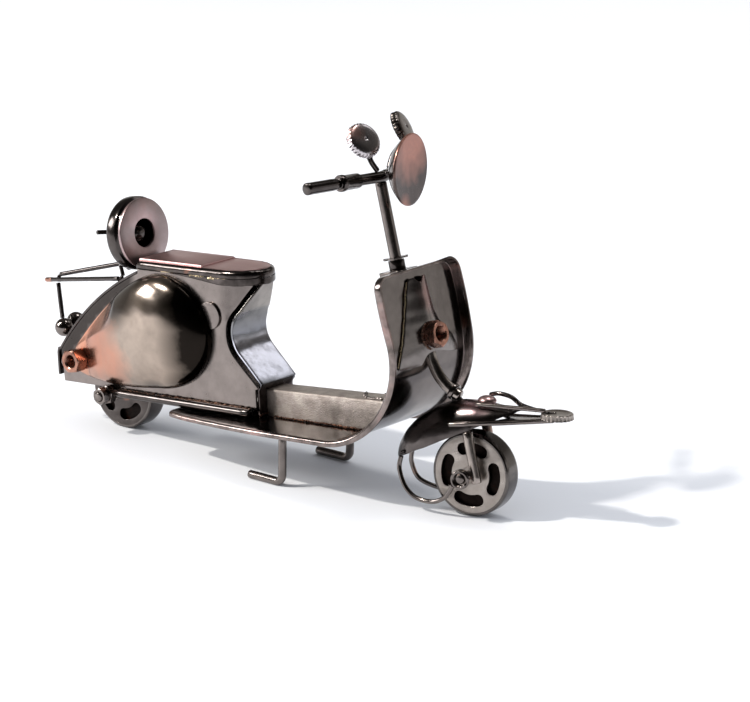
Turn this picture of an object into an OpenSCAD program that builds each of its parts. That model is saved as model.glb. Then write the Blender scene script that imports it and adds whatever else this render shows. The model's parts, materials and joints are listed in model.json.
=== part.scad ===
// Welded iron-art scooter ornament: bent sheet, rod, washers, hex nuts and balls.
// +X is forward, +Y is the rider's left, +Z is up, and the wheels stand on z = 0.
// Three drawing frames are used: the world, the nose-up body frame whose origin is the
// rear axle, and the raked steering frame whose +Z is the steering axis.

/* [Wheels] */
// Outer radius of both wheels
wheel_r = 12.75; // [12.5:0.05:13]
// Width of both wheels
wheel_w = 7; // [6.6:0.1:7.2]
// Radius of the axle rods
axle_r = 1.45; // [1.3:0.05:1.5]
// Radial running clearance between axle and wheel
axle_gap = 0.05; // [0.03:0.01:0.08]

/* [Body] */
// Nose-up pitch of the welded body, in degrees
body_pitch = 4.5; // [4:0.1:5]
// Half width over the outer faces of the side plates
plate_y = 9.1; // [9:0.1:9.4]
// Thickness of the bent sheet metal
sheet_t = 0.8; // [0.7:0.05:0.9]
// Height of the seat's lower face over the rear axle
seat_v = 42.3; // [42:0.1:42.6]
// Half width of the seat pressing
seat_half_w = 9.7; // [9.5:0.1:9.9]
// How far each domed cowl bulges out of its plate
dome_h = 8.6; // [7:0.2:9]

/* [Floor and leg shield] */
// Half width of the footboard at its widest
floor_half_w = 20.4; // [19.5:0.1:21]
// Half width of the leg shield
shield_half_w = 17.9; // [17.5:0.1:18.5]
// Radius of the bend from footboard to leg shield
floor_bend_r = 25.5; // [25:0.1:26]
// Backward lean of the leg shield, in degrees
shield_lean = 12; // [11:0.5:13]
// Depth of the turned edge on the leg shield
flange_d = 2.9; // [2.5:0.1:3.2]

/* [Steering] */
// Rake of the steering axis from vertical, in degrees
rake = 15.5; // [15:0.5:16]
// Angle by which the fork is turned to the left as it stands, in degrees
steer_rest = 10; // [8:1:12]
// Radius of the steering rod
rod_r = 1.8; // [1.7:0.05:1.9]
// Radial running clearance of the rod in its bushing
rod_gap = 0.05; // [0.03:0.01:0.08]
// Half span of the handlebar
bar_half = 31; // [30:0.5:33]
// How far each grip's end sweeps back
bar_sweep = 8.5; // [7:0.5:10]
// Radius of the headlamp disc
lamp_r = 10.9; // [10.6:0.1:11.4]
// Radius of the mirror discs
mirror_r = 5.5; // [5.2:0.1:5.8]

/* [Hidden] */
$fn = 64;

// Centre of the whole object's box, measured in the drawing frame below
centre_x = -36.1;
centre_y = -0.93;
// Rear axle and steering datum, in the drawing frame
rear_axle_x = -101.6;
steer_x = 8.03;
steer_z = 72;

// Colours of the plated steel, roughly as seen
gun = [0.23, 0.21, 0.21];
dark = [0.13, 0.12, 0.12];
satin = [0.55, 0.51, 0.49];
copper = [0.72, 0.48, 0.38];
sand = [0.62, 0.57, 0.52];

// ---------- frames ----------
module placed() { translate([-centre_x, -centre_y, 0]) children(); }
module body_frame() {
  placed() translate([rear_axle_x, 0, wheel_r]) rotate([0, -body_pitch, 0]) children();
}
module column_frame() {
  placed() translate([steer_x, 0, steer_z]) rotate([0, -rake, 0]) children();
}
module steer_frame() { column_frame() rotate([0, 0, steer_rest]) children(); }
// Right-hand pieces are drawn on the -Y side; the left hand is their mirror image
module hand(left) { mirror([0, left ? 1 : 0, 0]) children(); }

// ---------- helpers ----------
function arc(c, r, a0, a1, n) =
  [for (i = [0:n]) let (a = a0 + (a1 - a0) * i / n) [c[0] + r * cos(a), c[1] + r * sin(a)]];
function mix(a, b, k) = a + (b - a) * k;
function unit(v) = v / norm(v);
function rev(p) = [for (i = [len(p) - 1:-1:0]) p[i]];

// Closed solid through closed outlines of equal length, drawn anticlockwise about the way they run
module loft(rings) {
  m = len(rings[0]);
  last = len(rings) - 1;
  sides = [for (i = [0:last - 1], j = [0:m - 1]) let (a = i * m + j, b = i * m + (j + 1) % m)
           each [[a, a + m, b + m], [a, b + m, b]]];
  caps = [[for (j = [0:m - 1]) j], [for (j = [m - 1:-1:0]) last * m + j]];
  polyhedron(points = [for (ring = rings, p = ring) p], faces = concat(sides, caps), convexity = 8);
}

// Round wire of radius r along points p; side is a direction the path never takes
module wire(p, r, side = [0, 1, 0], n = 8) {
  last = len(p) - 1;
  loft([for (i = [0:last])
        let (t = unit(p[min(i + 1, last)] - p[max(i - 1, 0)]),
             a = unit(side - t * (side * t)), b = cross(t, a))
        [for (k = [0:n - 1]) p[i] + r * (a * cos(360 * k / n) + b * sin(360 * k / n))]]);
}

// Straight rod between two points
module rod(p, q, r) {
  d = q - p;
  translate(p) rotate([0, acos(d[2] / norm(d)), atan2(d[1], d[0])]) cylinder(r = r, h = norm(d));
}

// Smooth curve through points p (Catmull-Rom), n pieces a span
function spline(p, n) = concat([for (i = [0:len(p) - 2], k = [0:n - 1])
  let (a = p[max(i - 1, 0)], b = p[i], c = p[i + 1], d = p[min(i + 2, len(p) - 1)], t = k / n)
  0.5 * (2 * b + (c - a) * t + (2 * a - 5 * b + 4 * c - d) * t * t
         + (3 * b - a - 3 * c + d) * t * t * t)], [p[len(p) - 1]]);

// Prism of outline p in the x-z plane, from y0 to y1
module xz_prism(p, y0, y1) {
  translate([0, y1, 0]) rotate([90, 0, 0]) linear_extrude(y1 - y0) polygon(p);
}

// ---------- body outlines, in the body frame: u forward, v up ----------
plate_t = 0.9;
plate_bottom = 1.9;
tail = [-21.5, 13];
crown = [15, 41.6];
back_bow = 3;
waist_c = [62.5, 25];
waist_r = 11;
waist_a = 44;
knee_v = 8.6;
foot_u = 62.3;

// The plate's rounded back, offset outwards by d
back_chord = crown - tail;
back_r = (norm(back_chord) * norm(back_chord) / 4 + back_bow * back_bow) / (2 * back_bow);
back_n = unit([-back_chord[1], back_chord[0]]);
back_c = (tail + crown) / 2 - back_n * (back_r - back_bow);
function angle_from(c, p) = atan2(p[1] - c[1], p[0] - c[0]);
function back_curve(d, n = 14) =
  arc(back_c, back_r + d, angle_from(back_c, tail), angle_from(back_c, crown), n);

// Above turn_v the front corners turn inwards, to fit under the seat's round nose
turn_v = 28.5;
turn_in = 6.3;
function turned(v) = v < turn_v ? 0 : turn_in * pow((v - turn_v) / (seat_v - turn_v), 1.25);

// The waisted front edge from the seat down to the knee, offset forwards by d. The strip,
// which stands forward of the plates, has its knee a little higher than theirs.
function waist(d, n = 10) =
  let (r = waist_r - d, kv = knee_v + (d > 0 ? 1.3 : 0), top = waist_c + r * [cos(90 + waist_a),
      sin(90 + waist_a)],
       low = waist_c + r * [cos(270 - waist_a), sin(270 - waist_a)])
  concat([for (k = [1, 0.66, 0.33]) let (v = mix(top[1], seat_v, k))
          [top[0] + (v - top[1]) * 0.68, v]],
         arc(waist_c, r, 90 + waist_a, 270 - waist_a, n),
         [[low[0] + (low[1] - kv) / tan(waist_a) - d * 0.3, kv]]);

// Level slice of the turned corner: skin and inner face from the flat plate to the front edge.
// The corner is a piece of its own, with a hairline seam to the flat plate.
fold_u = 49;
seam = 0.02;
function corner_ring(u, v) =
  let (run = u - fold_u, n = 5,
       line = [for (i = [0:n]) let (k = i / n) [fold_u + run * k, -plate_y + turned(v) * k * k, v]])
  concat(line, [for (q = rev(line)) q + [0, plate_t, 0]]);

module side_plate(left) {
  edge = waist(0);
  above = [for (q = edge) if (q[1] > turn_v) q];
  below = [for (q = edge) if (q[1] <= turn_v) q];
  low = below[0] - [0.01, seam];
  flat = concat([[-20.4, plate_bottom], [-20.9, 11.8]], back_curve(-sheet_t - 0.05),
                [[crown[0], seat_v], [fold_u - seam, seat_v], [fold_u - seam, low[1]], low],
                [for (i = [1:len(below) - 1]) below[i]],
                [[foot_u, knee_v - 0.6], [foot_u, plate_bottom]]);
  color(gun) body_frame() hand(left) {
    xz_prism(flat, -plate_y, -plate_y + plate_t);
    loft([for (q = concat([below[0]], rev(above))) corner_ring(q[0], q[1])]);
  }
}

// Bent strip that closes the body in front, standing just inside the plates' edges
module front_strip() {
  set_in = 1.2;
  half = plate_y - plate_t - 0.05;
  foot = [[foot_u + 0.05, knee_v - 1.2], [foot_u + 0.05, floor_v + 0.1]];
  back = concat(waist(set_in), foot);
  front = concat(waist(set_in + sheet_t), [for (q = foot) q + [sheet_t, 0]]);
  color(satin) body_frame() loft([for (i = [0:len(back) - 1])
    let (b = back[i], f = front[i], w = half - turned(b[1]) * 1.04)
    [[b[0], -w, b[1]], [b[0], w, b[1]], [f[0], w, f[1]], [f[0], -w, f[1]]]]);
}

// Bent strip over the plates' back edges, ending in an upright tail flap
module rear_strip() {
  under = back_curve(-sheet_t);
  over = back_curve(0);
  flap_low = 3.8;
  flap_u = -22.9;
  band = concat([[flap_u + sheet_t, flap_low]], [[flap_u + sheet_t, 12.4]], under, rev(over),
                [[flap_u, 12.8], [flap_u, flap_low]]);
  color(dark) body_frame() xz_prism(band, -plate_y, plate_y);
}

// Half-egg cowl on each plate. Along it, k runs from 0 at the tail over dome_split at the
// widest place to 1 at the nose; upper and lower give the outline, rise the bulge.
dome_u0 = 24;
dome_top = 41.6;
dome_low = 4.6;
dome_nose = 21.4;
dome_tail = 38.5;
dome_split = 0.6;
function dome_upper(t) = dome_top - (dome_top - 13.4) * pow(t, 1.55);
function dome_lower(t) = dome_low - 1.2 * sin(min(90, 180 * t)) + 3.1 * pow(t, 5);
function tail_t(k) = 1 - k / dome_split;
function nose_a(k) = (k - dome_split) / (1 - dome_split) * 90;
function dome_u(k) = k < dome_split ? dome_u0 - dome_tail * tail_t(k) : dome_u0 + dome_nose * sin(nose_a(k));
function dome_half(k) = k < dome_split
  ? (dome_upper(tail_t(k)) - dome_lower(tail_t(k))) / 2
  : (dome_top - dome_low) / 2 * cos(nose_a(k));
function dome_line(k) = k < dome_split ? (dome_upper(tail_t(k)) + dome_lower(tail_t(k))) / 2
                                       : (dome_top + dome_low) / 2;
// The tail stays low enough for the signal nut to sit on it
dome_flat = 0.7;
dome_flat_k = 0.105;
function dome_rise(k) = k < dome_flat_k ? dome_flat
  : k < dome_split ? mix(dome_flat, dome_h,
      pow(sin(90 * (k - dome_flat_k) / (dome_split - dome_flat_k)), 0.8))
                   : max(0.2, dome_h * pow(cos(nose_a(k)), 0.9));

module cowl_dome(left) {
  stations = 26;
  around = 14;
  rings = [for (i = [0:stations]) let (k = i / stations * 0.985)
           [for (j = [0:around]) let (a = 180 * j / around)
            [dome_u(k), -plate_y - dome_rise(k) * pow(sin(a), 0.8), dome_line(k) + dome_half(k) * cos(a)]]];
  color(gun) body_frame() hand(left) loft(rings);
}

// Small half-round tab on each plate, just in front of the cowl's edge
module cowl_tabs() {
  tab_c = [45.4, 30.2];
  tab_r = 4.3;
  nose = [for (a = [-80:10:80]) [dome_u0 + dome_nose * cos(a) + 0.2,
                                 (dome_top + dome_low) / 2 + (dome_top - dome_low) / 2 * sin(a)]];
  for (left = [false, true])
    color(gun) body_frame() hand(left) difference() {
      translate([tab_c[0], -plate_y - 0.02, tab_c[1]]) rotate([90, 0, 0]) cylinder(r = tab_r, h = 0.7);
      xz_prism(concat([[dome_u0, dome_low]], nose, [[dome_u0, dome_top]]), -plate_y - 2, -plate_y + 1);
    }
}

// ---------- seat, spare wheel and rack ----------
seat_rear = 14.2;
seat_wide = 50;
seat_nose = 62.8;
function seat_outline(d) = concat(
  [[seat_rear + d, -seat_half_w + 2 + d], [seat_rear + 2 + d, -seat_half_w + d]],
  [for (a = [-90:9:90]) [seat_wide + (seat_nose - seat_wide - d) * cos(a), (seat_half_w - d) * sin(a)]],
  [[seat_rear + 2 + d, seat_half_w - d], [seat_rear + d, seat_half_w - 2 - d]]);

module seat() {
  pan_h = 2.6;
  step_h = 0.8;
  step_u = 41;
  lip_h = 2.1;
  lip_from = 42;
  lip_to = 57;
  color([0.6, 0.45, 0.44]) body_frame() {
    // Lip over the plates' top edges, on each side ahead of the cowls
    intersection() {
      translate([0, 0, seat_v - lip_h]) linear_extrude(lip_h + 0.3) difference() {
        polygon(seat_outline(0));
        polygon(seat_outline(0.5));
      }
      translate([lip_from, -20, seat_v - 5]) cube([lip_to - lip_from, 40, 8]);
    }
    translate([0, 0, seat_v + 0.05]) linear_extrude(pan_h - 0.6) polygon(seat_outline(0));
    translate([0, 0, seat_v + pan_h - 0.6]) linear_extrude(0.65) polygon(seat_outline(0.7));
    intersection() {
      translate([0, 0, seat_v + pan_h]) linear_extrude(step_h) polygon(seat_outline(0.7));
      translate([seat_rear, -10, seat_v]) cube([step_u - seat_rear, 20, 6]);
    }
  }
}

// Spare wheel: axis leans back from +u; its local +Z points forwards out of the washer
spare_pos = [11.2, 0, 52.0];
spare_tilt = 5;
module spare_frame() { body_frame() translate(spare_pos) rotate([0, 90 - spare_tilt, 0]) children(); }

module spare_wheel_cup() {
  color(gun) spare_frame() rotate_extrude()
    polygon([[0, -6.6], [10.2, -6.6], [11.5, -5.9], [11.8, -4.9], [11.8, -2.3], [11.2, -1.7],
             [10.8, -1.25], [9.5, -1.25], [9.5, -4.9], [0, -4.9]]);
}

module spare_wheel_washer() {
  hole_r = 4.55;
  color([0.66, 0.54, 0.53]) spare_frame() rotate_extrude()
    polygon([[hole_r, -1.2], [10.9, -1.2], [11.2, -0.9], [11.2, -0.4], [10.8, 0], [hole_r, 0]]);
}

// Round rivet head inside the wheel, with its wire tail standing out behind
module spare_wheel_stud() {
  color(dark) spare_frame() {
    intersection() {
      translate([0, 0, -5.1]) sphere(r = 4.1);
      translate([-5, -5, -4.85]) cube([10, 10, 5]);
    }
    wire(spline([[0, 0, -6.7], [0, 0, -7.3], [-0.2, -0.7, -8.1], [-0.8, -3.4, -9.4], [-1.5, -7, -10.8],
                 [-1.9, -9.8, -11.6]], 4), 0.75);
  }
}

rack_r = 0.75;
module rack_rod_right() { color(dark) body_frame() rod([-36, 1.5, 32.1], [5.4, -7.3, 37.9], rack_r); }
module rack_rod_left() { color(dark) body_frame() rod([-28.4, 0.4, 34.8], [2.6, 6.2, 41.2], rack_r); }
module rack_leg() { color(dark) body_frame() rod([-29.2, 0, 32.0], [-27.8, -0.6, 20.4], rack_r); }
module rack_strut() { color(dark) body_frame() rod([5.8, -5.6, 38.6], [3.9, -4.6, 41.9], 0.65); }

ball_r = 3.05;
module tail_ball(left) {
  p = left ? [-25.4, 3.1, 18.9] : [-24.8, -3.1, 18.1];
  color(dark) body_frame() translate(p) sphere(r = ball_r);
}

// Hex nut: across flats af, height h, hole radius hole_r, along +Z
module hex_nut(af, h, hole_r) {
  difference() {
    cylinder(r = af / sqrt(3), h = h, $fn = 6);
    translate([0, 0, -1]) cylinder(r = hole_r, h = h + 2);
  }
}

module signal_nuts() {
  for (left = [false, true])
    color(copper) body_frame() hand(left)
      translate([-12.3, -plate_y - dome_flat - 0.05, 10.1]) rotate([90, 0, 0]) rotate(8) hex_nut(7, 4.4, 2.1);
}

// ---------- under-frame and rear axle ----------
frame_rod_y = 10.5;
frame_rod_v = 0.8;
boss_y0 = 7.2;
boss_y1 = 9.15;
module frame_rod(left) {
  color(satin) body_frame() hand(left)
    rod([3.4, -frame_rod_y, frame_rod_v], [60.8, -frame_rod_y, frame_rod_v], 1.25);
}

// Along the axle, from y0 to y1 on the right-hand side
module on_axle(y0) { translate([0, -y0, 0]) rotate([90, 0, 0]) children(); }

module axle_boss(left) {
  color(satin) body_frame() hand(left) on_axle(boss_y0) difference() {
    cylinder(r = 1.85, h = boss_y1 - boss_y0);
    translate([0, 0, -1]) cylinder(r = axle_r, h = boss_y1 - boss_y0 + 2);
  }
}

axle_end = 15;
module rear_axle() {
  color(gun) body_frame() on_axle(-axle_end) cylinder(r = axle_r, h = 2 * axle_end);
}

module rear_axle_nuts() {
  for (left = [false, true])
    color(copper) body_frame() hand(left) {
      on_axle(boss_y1 + 0.05) rotate(12) hex_nut(5.6, 2.6, axle_r);
      on_axle(boss_y1 + 2.75) rotate(30) hex_nut(4.9, 2.6, axle_r);
    }
}

// Wire coil drawn as touching rings of the same length and outer size
module coil_rings(turns, wire_r, outer_r) {
  for (i = [0:turns - 1])
    translate([0, 0, wire_r + i * 2 * wire_r * 0.98])
      rotate_extrude() translate([outer_r - wire_r, 0]) circle(r = wire_r, $fn = 24);
}

module rear_axle_coils() {
  for (left = [false, true])
    color(gun) body_frame() hand(left) on_axle(3.9) coil_rings(3, 0.55, 2.6);
}

// ---------- footboard and leg shield: one bent sheet with turned edges ----------
floor_v = -1.1;
floor_tail = 30.6;
bend_c = [97.6, floor_v + floor_bend_r];
shield_top = 50;
bend_n = 22;
shield_from = bend_c + floor_bend_r * [cos(shield_lean), sin(shield_lean)];
shield_len = (shield_top - shield_from[1]) / cos(shield_lean);
corner_r = 4;
floor_corner = 3;

// The board curls up slightly over its last 12 mm
tail_rise = 0.5;

// Each station: [u, v, outward normal angle, half width, edge depth, thickness]
function floor_station(u) =
  let (k = (u - floor_tail) / (bend_c[0] - floor_tail), s = u - floor_tail,
       inset = s < floor_corner ? floor_corner - sqrt(s * (2 * floor_corner - s)) : 0)
  [u, floor_v + tail_rise * max(0, 1 - s / 12), -90,
   mix(16.4, floor_half_w, sin(90 * min(1, k * 1.4))) - inset, mix(1.4, 1.7, k), sheet_t];
function bend_station(a) =
  let (k = (a + 90) / (90 + shield_lean))
  [bend_c[0] + floor_bend_r * cos(a), bend_c[1] + floor_bend_r * sin(a), a,
   mix(floor_half_w, shield_half_w, min(1, k * 1.25)), mix(1.7, flange_d, k), sheet_t];
function shield_station(s) =
  let (r = shield_len - s, inset = r < corner_r ? corner_r - sqrt(max(0, r * (2 * corner_r - r))) : 0)
  [shield_from[0] - s * sin(shield_lean), shield_from[1] + s * cos(shield_lean), shield_lean,
   shield_half_w + 0.5 * sin(180 * s / shield_len) - inset, flange_d,
   r > sheet_t ? sheet_t : flange_d - 0.02];
sheet_stations = concat(
  [for (u = [0, 0.4, 1.2, 2.2, 3.2, 12, 25, 38, 52]) floor_station(floor_tail + u)],
  [for (i = [0:bend_n]) bend_station(-90 + (90 + shield_lean) * i / bend_n)],
  [for (k = [0.25, 0.5, 0.75]) shield_station((shield_len - corner_r) * k)],
  [for (a = [0:10:50]) shield_station(shield_len - corner_r + corner_r * sin(a))],
  [for (r = [sheet_t + 0.02, sheet_t, 0.4, 0.12, 0]) shield_station(shield_len - r)]);

// Point of a station: y across, n out of the sheet's front and lower side
function on_sheet(st, y, n) = [st[0] + n * cos(st[2]), y, st[1] + n * sin(st[2])];
function sheet_ring(st) =
  let (w = st[3], d = st[4], t = sheet_t, f = st[5])
  [for (q = [[-w, 0], [-w, d], [-w + t, d], [-w + t, f], [w - t, f], [w - t, d], [w, d], [w, 0]])
   on_sheet(st, q[0], q[1])];

// Slot in the shield, behind the horn cover, that the steering rod passes through
slot_half_w = 5;
slot_low = 19.6;
slot_high = 45.3;

module floor_and_shield() {
  color(gun) body_frame() difference() {
    loft([for (st = sheet_stations) sheet_ring(st)]);
    translate([bend_c[0] + 15, -slot_half_w, slot_low])
      cube([20, 2 * slot_half_w, slot_high - slot_low]);
  }
}

// Footwell box between seat and shield, its front following the bend of the sheet
tunnel_end_angle = -36.5;
module tunnel_box() {
  half = 4.5;
  top_rear = 7.6;
  gap = 0.1;
  start = foot_u + sheet_t + 0.05;
  bend = arc(bend_c, floor_bend_r - gap, -90, tunnel_end_angle, 10);
  outline = concat([[start, floor_v + gap]], bend, [[start, top_rear]]);
  color(sand) body_frame() xz_prism(outline, -half, half);
}

// ---------- steering head, fixed to the body ----------
bushing_low = -1.2;
bushing_high = 1.8;
module steering_bushing() {
  color(gun) column_frame() translate([0, 0, bushing_low]) difference() {
    cylinder(r = 2.5, h = bushing_high - bushing_low);
    translate([0, 0, -1]) cylinder(r = rod_r + rod_gap, h = bushing_high - bushing_low + 2);
  }
}

module steering_bracket() {
  plate_h = 1.5;
  plate_rear = 4.2;
  plate_front = 4.0;
  plate_half = 4.6;
  color(gun) column_frame() difference() {
    translate([-plate_rear, -plate_half, bushing_low - plate_h])
      cube([plate_rear + plate_front, 2 * plate_half, plate_h]);
    translate([0, 0, -5]) cylinder(r = rod_r + 0.35, h = 6);
  }
}

// Horn cover: two facets meeting in a ridge, notched at the top and open at the bottom.
// Each row: [station, right edge, left edge, ridge y, ridge height]
cover_top = 47.2;
cover_ridge = 2.1;
cover_t = 0.7;
cover_rows = [
  [shield_station(shield_len - (shield_top - cover_top) / cos(shield_lean)), -3.0, 4.8, 1.0, 1.2],
  [shield_station(shield_len - (shield_top - 37) / cos(shield_lean)), -7.6, 5.4, 0.3, 2.0],
  [shield_station(0.4), -10.8, 9.6, 0, cover_ridge],
  [bend_station(7.36), -12.6, 12.2, 0, cover_ridge],
  [bend_station(2.73), -14, 13.6, 0, cover_ridge],
  [bend_station(-1.91), -14.6, 14.2, 0, 2.2],
  [bend_station(-5), -14.8, 14.4, 0, 2.2]];
module horn_cover() {
  face = sheet_t + 0.12;
  t = cover_t;
  rings = [for (c = cover_rows)
    [for (q = [[c[1], 0], [c[3] - 0.1, c[4]], [c[3] + 0.1, c[4]], [c[2], 0],
               [c[2], t], [c[3] + 0.4, c[4] + t], [c[3] - 0.4, c[4] + t], [c[1], t]])
      on_sheet(c[0], q[0], face + q[1])]];
  color([0.45, 0.40, 0.39]) body_frame() difference() {
    loft(rings);
    // V notch at the top
    translate([bend_c[0] + 15, 1, cover_top + 0.6]) rotate([0, 90, 0])
      linear_extrude(20) polygon([[-3, -2.6], [-3, 2.6], [1.9, 0]]);
    // Arch at the foot where the steering rod comes out
    translate([bend_c[0] + 15, 0, 0]) rotate([90, 0, 90]) linear_extrude(20)
      polygon([[-4.6, 10], [-4.6, 23.4], [-2.6, 25.9], [2.4, 26.2], [5, 25.2], [9.5, 23.9], [16, 22.9],
          [16, 10]]);
  }
}

horn_nut_v = 29.8;
module horn_nut() {
  st = shield_station((horn_nut_v - shield_from[1]) / cos(shield_lean));
  ridge = sheet_t + cover_ridge + cover_t + 0.24;
  seat_fall = 0.16;
  low = 2.5;
  color(copper) body_frame() translate(on_sheet(st, 0, 0)) rotate([0, 90 - shield_lean, 0])
    difference() {
      translate([0, 0, low]) hex_nut(7.2, 4.7, 2.3);
      // V seat where the nut straddles the cover's ridge
      rotate([90, 0, 90]) translate([0, 0, -8]) linear_extrude(16)
        polygon([[-9, -2], [9, -2], [9, ridge - 9 * seat_fall], [0, ridge], [-9, ridge - 9 * seat_fall]]);
    }
}

// L-shaped stand rods, straight down from the footboard and bent back along the ground
stand_x = -22.6;
stand_y = 16.4;
stand_r = 1.3;
stand_bend = 2.4;
stand_foot = 13.2;
stand_top = 16.9;
module stand(left) {
  color(gun) placed() hand(left) {
    translate([stand_x, -stand_y, stand_r + stand_bend])
      cylinder(r = stand_r, h = stand_top - stand_r - stand_bend);
    translate([stand_x - stand_bend, -stand_y, stand_r + stand_bend]) rotate([90, 0, 0])
      rotate_extrude(angle = -90) translate([stand_bend, 0]) circle(r = stand_r);
    translate([stand_x - stand_foot, -stand_y, stand_r]) rotate([0, 90, 0])
      cylinder(r = stand_r, h = stand_foot - stand_bend);
  }
}

// ---------- wheels ----------
slot_mid_r = 8.1;
slot_w = 3.6;
slot_span = 46;
module kidney_slots(h) {
  for (i = [0:3])
    rotate(90 * i - slot_span / 2 - 17) {
      rotate_extrude(angle = slot_span) translate([slot_mid_r - slot_w / 2, -h]) square([slot_w, 2 * h]);
      for (a = [0, slot_span])
        rotate(a) translate([slot_mid_r, 0, -h]) cylinder(r = slot_w / 2 - 0.15, h = 2 * h);
    }
}

// Two pressed discs and a rolled rim round a hub tube, axis along Z, centred
module wheel() {
  half = wheel_w / 2;
  bore = axle_r + axle_gap;
  color(satin) difference() {
    rotate_extrude() polygon([
      [bore, -half], [wheel_r - 1, -half], [wheel_r - 0.3, -half + 0.3], [wheel_r, -half + 1],
      [wheel_r, half - 1], [wheel_r - 0.3, half - 0.3], [wheel_r - 1, half], [bore, half]]);
    rotate_extrude() polygon([[2.6, -half + 0.9], [wheel_r - 0.9, -half + 0.9],
                              [wheel_r - 0.9, half - 0.9], [2.6, half - 0.9]]);
    kidney_slots(wheel_w);
  }
}

module rear_wheel() { body_frame() rotate([90, 0, 0]) rotate(40) wheel(); }

// Front axle in the steering frame, placed so that the leaning wheel just meets z = 0
axle_f = 12.7;
axle_lift = wheel_r * sqrt(1 - pow(sin(steer_rest) * sin(rake), 2))
            + wheel_w / 2 * sin(steer_rest) * sin(rake) - 0.051;
axle_h = (axle_lift - steer_z - axle_f * cos(steer_rest) * sin(rake)) / cos(rake);
module front_axle_frame() { steer_frame() translate([axle_f, 0, axle_h]) rotate([90, 0, 0]) children(); }
module front_wheel() { front_axle_frame() wheel(); }

// ---------- steering assembly, in the steering frame: f forward, l left, h up ----------
bar_h = 27;
bar_f = 1.4;
collar_f = 12.6;
collar_h = -41.6;
// Centreline of the rod below its straight column, through the shield to the fender
stem_path = spline([[0, 0, -6], [0.1, 0, -10], [1.2, 0, -14.5], [3.2, 0, -20], [5.0, 0, -26],
                    [5.5, 0, -30], [6.9, 0, -34.8], [9.6, 0, -38.8], [collar_f, 0, collar_h]], 3);

module steering_rod() {
  color(gun) steer_frame() {
    translate([0, 0, -7]) cylinder(r = rod_r, h = bar_h - bar_r - 0.06 + 7);
    wire(stem_path, rod_r - 0.1, n = 16);
  }
}

// Toothed push-on washer that keeps the rod from dropping through its bushing
module push_on_washer() {
  low = bushing_high + 0.3;
  color(satin) steer_frame() translate([0, 0, low]) difference() {
    union() {
      cylinder(r = 3.1, h = 0.5);
      for (i = [0:5]) rotate(60 * i) translate([0, -0.7, 0]) cube([4, 1.4, 0.5]);
    }
    translate([0, 0, -1]) cylinder(r = rod_r, h = 3);
  }
}

module stem_collar() {
  d = unit([collar_f, 0, collar_h] - [9.6, 0, -38.8]);
  color(gun) steer_frame() translate([collar_f, 0, collar_h] - d * 3.4)
    rotate([0, 90 + atan2(-d[2], d[0]), 0]) difference() {
      cylinder(r = 2.6, h = 1.6);
      translate([0, 0, -1]) cylinder(r = rod_r, h = 4);
    }
}

// Leaf-shaped mudguard: spine, edge and half width at distance f along the wheel
fender_rear = -12.2;
fender_crown = 12;
fender_front = 33;
fender_half_w = 7.6;
fender_t = 0.8;
function fender_edge(f) = -57.3 + 0.214 * (f - fender_rear);
function fender_spine(f) = f < fender_crown
  ? -57.3 + 14.9 * pow(sin(acos((fender_crown - f) / (fender_crown - fender_rear + 0.02))), 1.25)
  : -42.4 - 6.6 * pow((f - fender_crown) / (fender_front - fender_crown), 1.6);
function fender_width(f) = f < 6
  ? fender_half_w * pow(sin(acos((6 - f) / (6.1 - fender_rear))), 1.15)
  : fender_half_w * pow(1 - pow((f - 6) / (fender_front - 5.5), 2), 0.7);
function fender_ring(f, n = 12) =
  let (w = max(1.3, fender_width(f)), e = fender_edge(f), rise = max(1, fender_spine(f) - e))
  concat([for (i = [0:n]) let (a = 180 * i / n) [f, w * cos(a), e + rise * sin(a)]],
         [for (i = [n:-1:0]) let (a = 180 * i / n)
          [f, (w - fender_t) * cos(a), e - 0.05 + max(0.2, rise - fender_t) * sin(a)]]);
module fender() {
  color(dark) steer_frame() difference() {
    loft([for (f = [-12.1, -11.7, -11, -10, -8.6, -6.5, -4, -1, 2, 5, 8, 11, 14, 17, 20, 23, 26, 29,
        31.5, 32.8])
          fender_ring(f)]);
    translate([collar_f, 0, collar_h]) sphere(r = rod_r + 0.05);
  }
}

// Crest: a rail along each side of the fender that meets in a plate under the tip
rail_r = 0.75;
module crest_plate() {
  plate = [[23, -4.4], [32, -3.4], [41, -2.3], [44, -1.4], [44, 1.4], [41, 2.3], [32, 3.4], [23, 4.4],
           [27, 0]];
  color(gun) steer_frame() {
    for (s = [-1, 1])
      wire(spline([[11.5, 8.1 * s, -48.4], [17, 7.6 * s, -49], [23, 6.4 * s, -49.7],
                   [28, 4.9 * s, -50.4], [43, 1.9 * s, -52]], 3), rail_r, side = [0, 0, 1]);
    translate([23, 0, -49.55]) rotate([0, 6.4, 0]) translate([-23, 0, -0.45])
      linear_extrude(0.6) polygon([for (p = plate) [p[0], p[1]]]);
  }
}

module crest_rod_right() {
  color(gun) steer_frame() rod([19.8, -4.4, -43.9], [41, -2.25, -48.7], 0.65);
}

module crest_rod_left() {
  color(dark) steer_frame()
    wire(spline([[20.9, 3, -42.6], [24, 3, -42.6], [28, 2.8, -44.1], [31, 2.5, -46.8],
                 [36, 2, -48.9]], 4), 0.7);
}

button_r = 2.8;
button_pos = [21.4, -0.4, -44.25];
crest_tilt = 14;
module fender_button() {
  color(satin) steer_frame() translate(button_pos) rotate([0, crest_tilt, 0]) intersection() {
    sphere(r = button_r);
    translate([-4, -4, 0.3]) cube([8, 8, 4]);
  }
}

module crest_disc() {
  teeth = 22;
  color(satin) steer_frame() translate([43.4, 0, -50.9]) rotate([0, crest_tilt, 0]) {
    cylinder(r = 4.9, h = 0.9);
    for (i = [0:teeth - 1])
      rotate(360 * i / teeth) translate([4.7, -0.3, -0.35]) cube([0.5, 0.6, 1]);
  }
}

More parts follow.
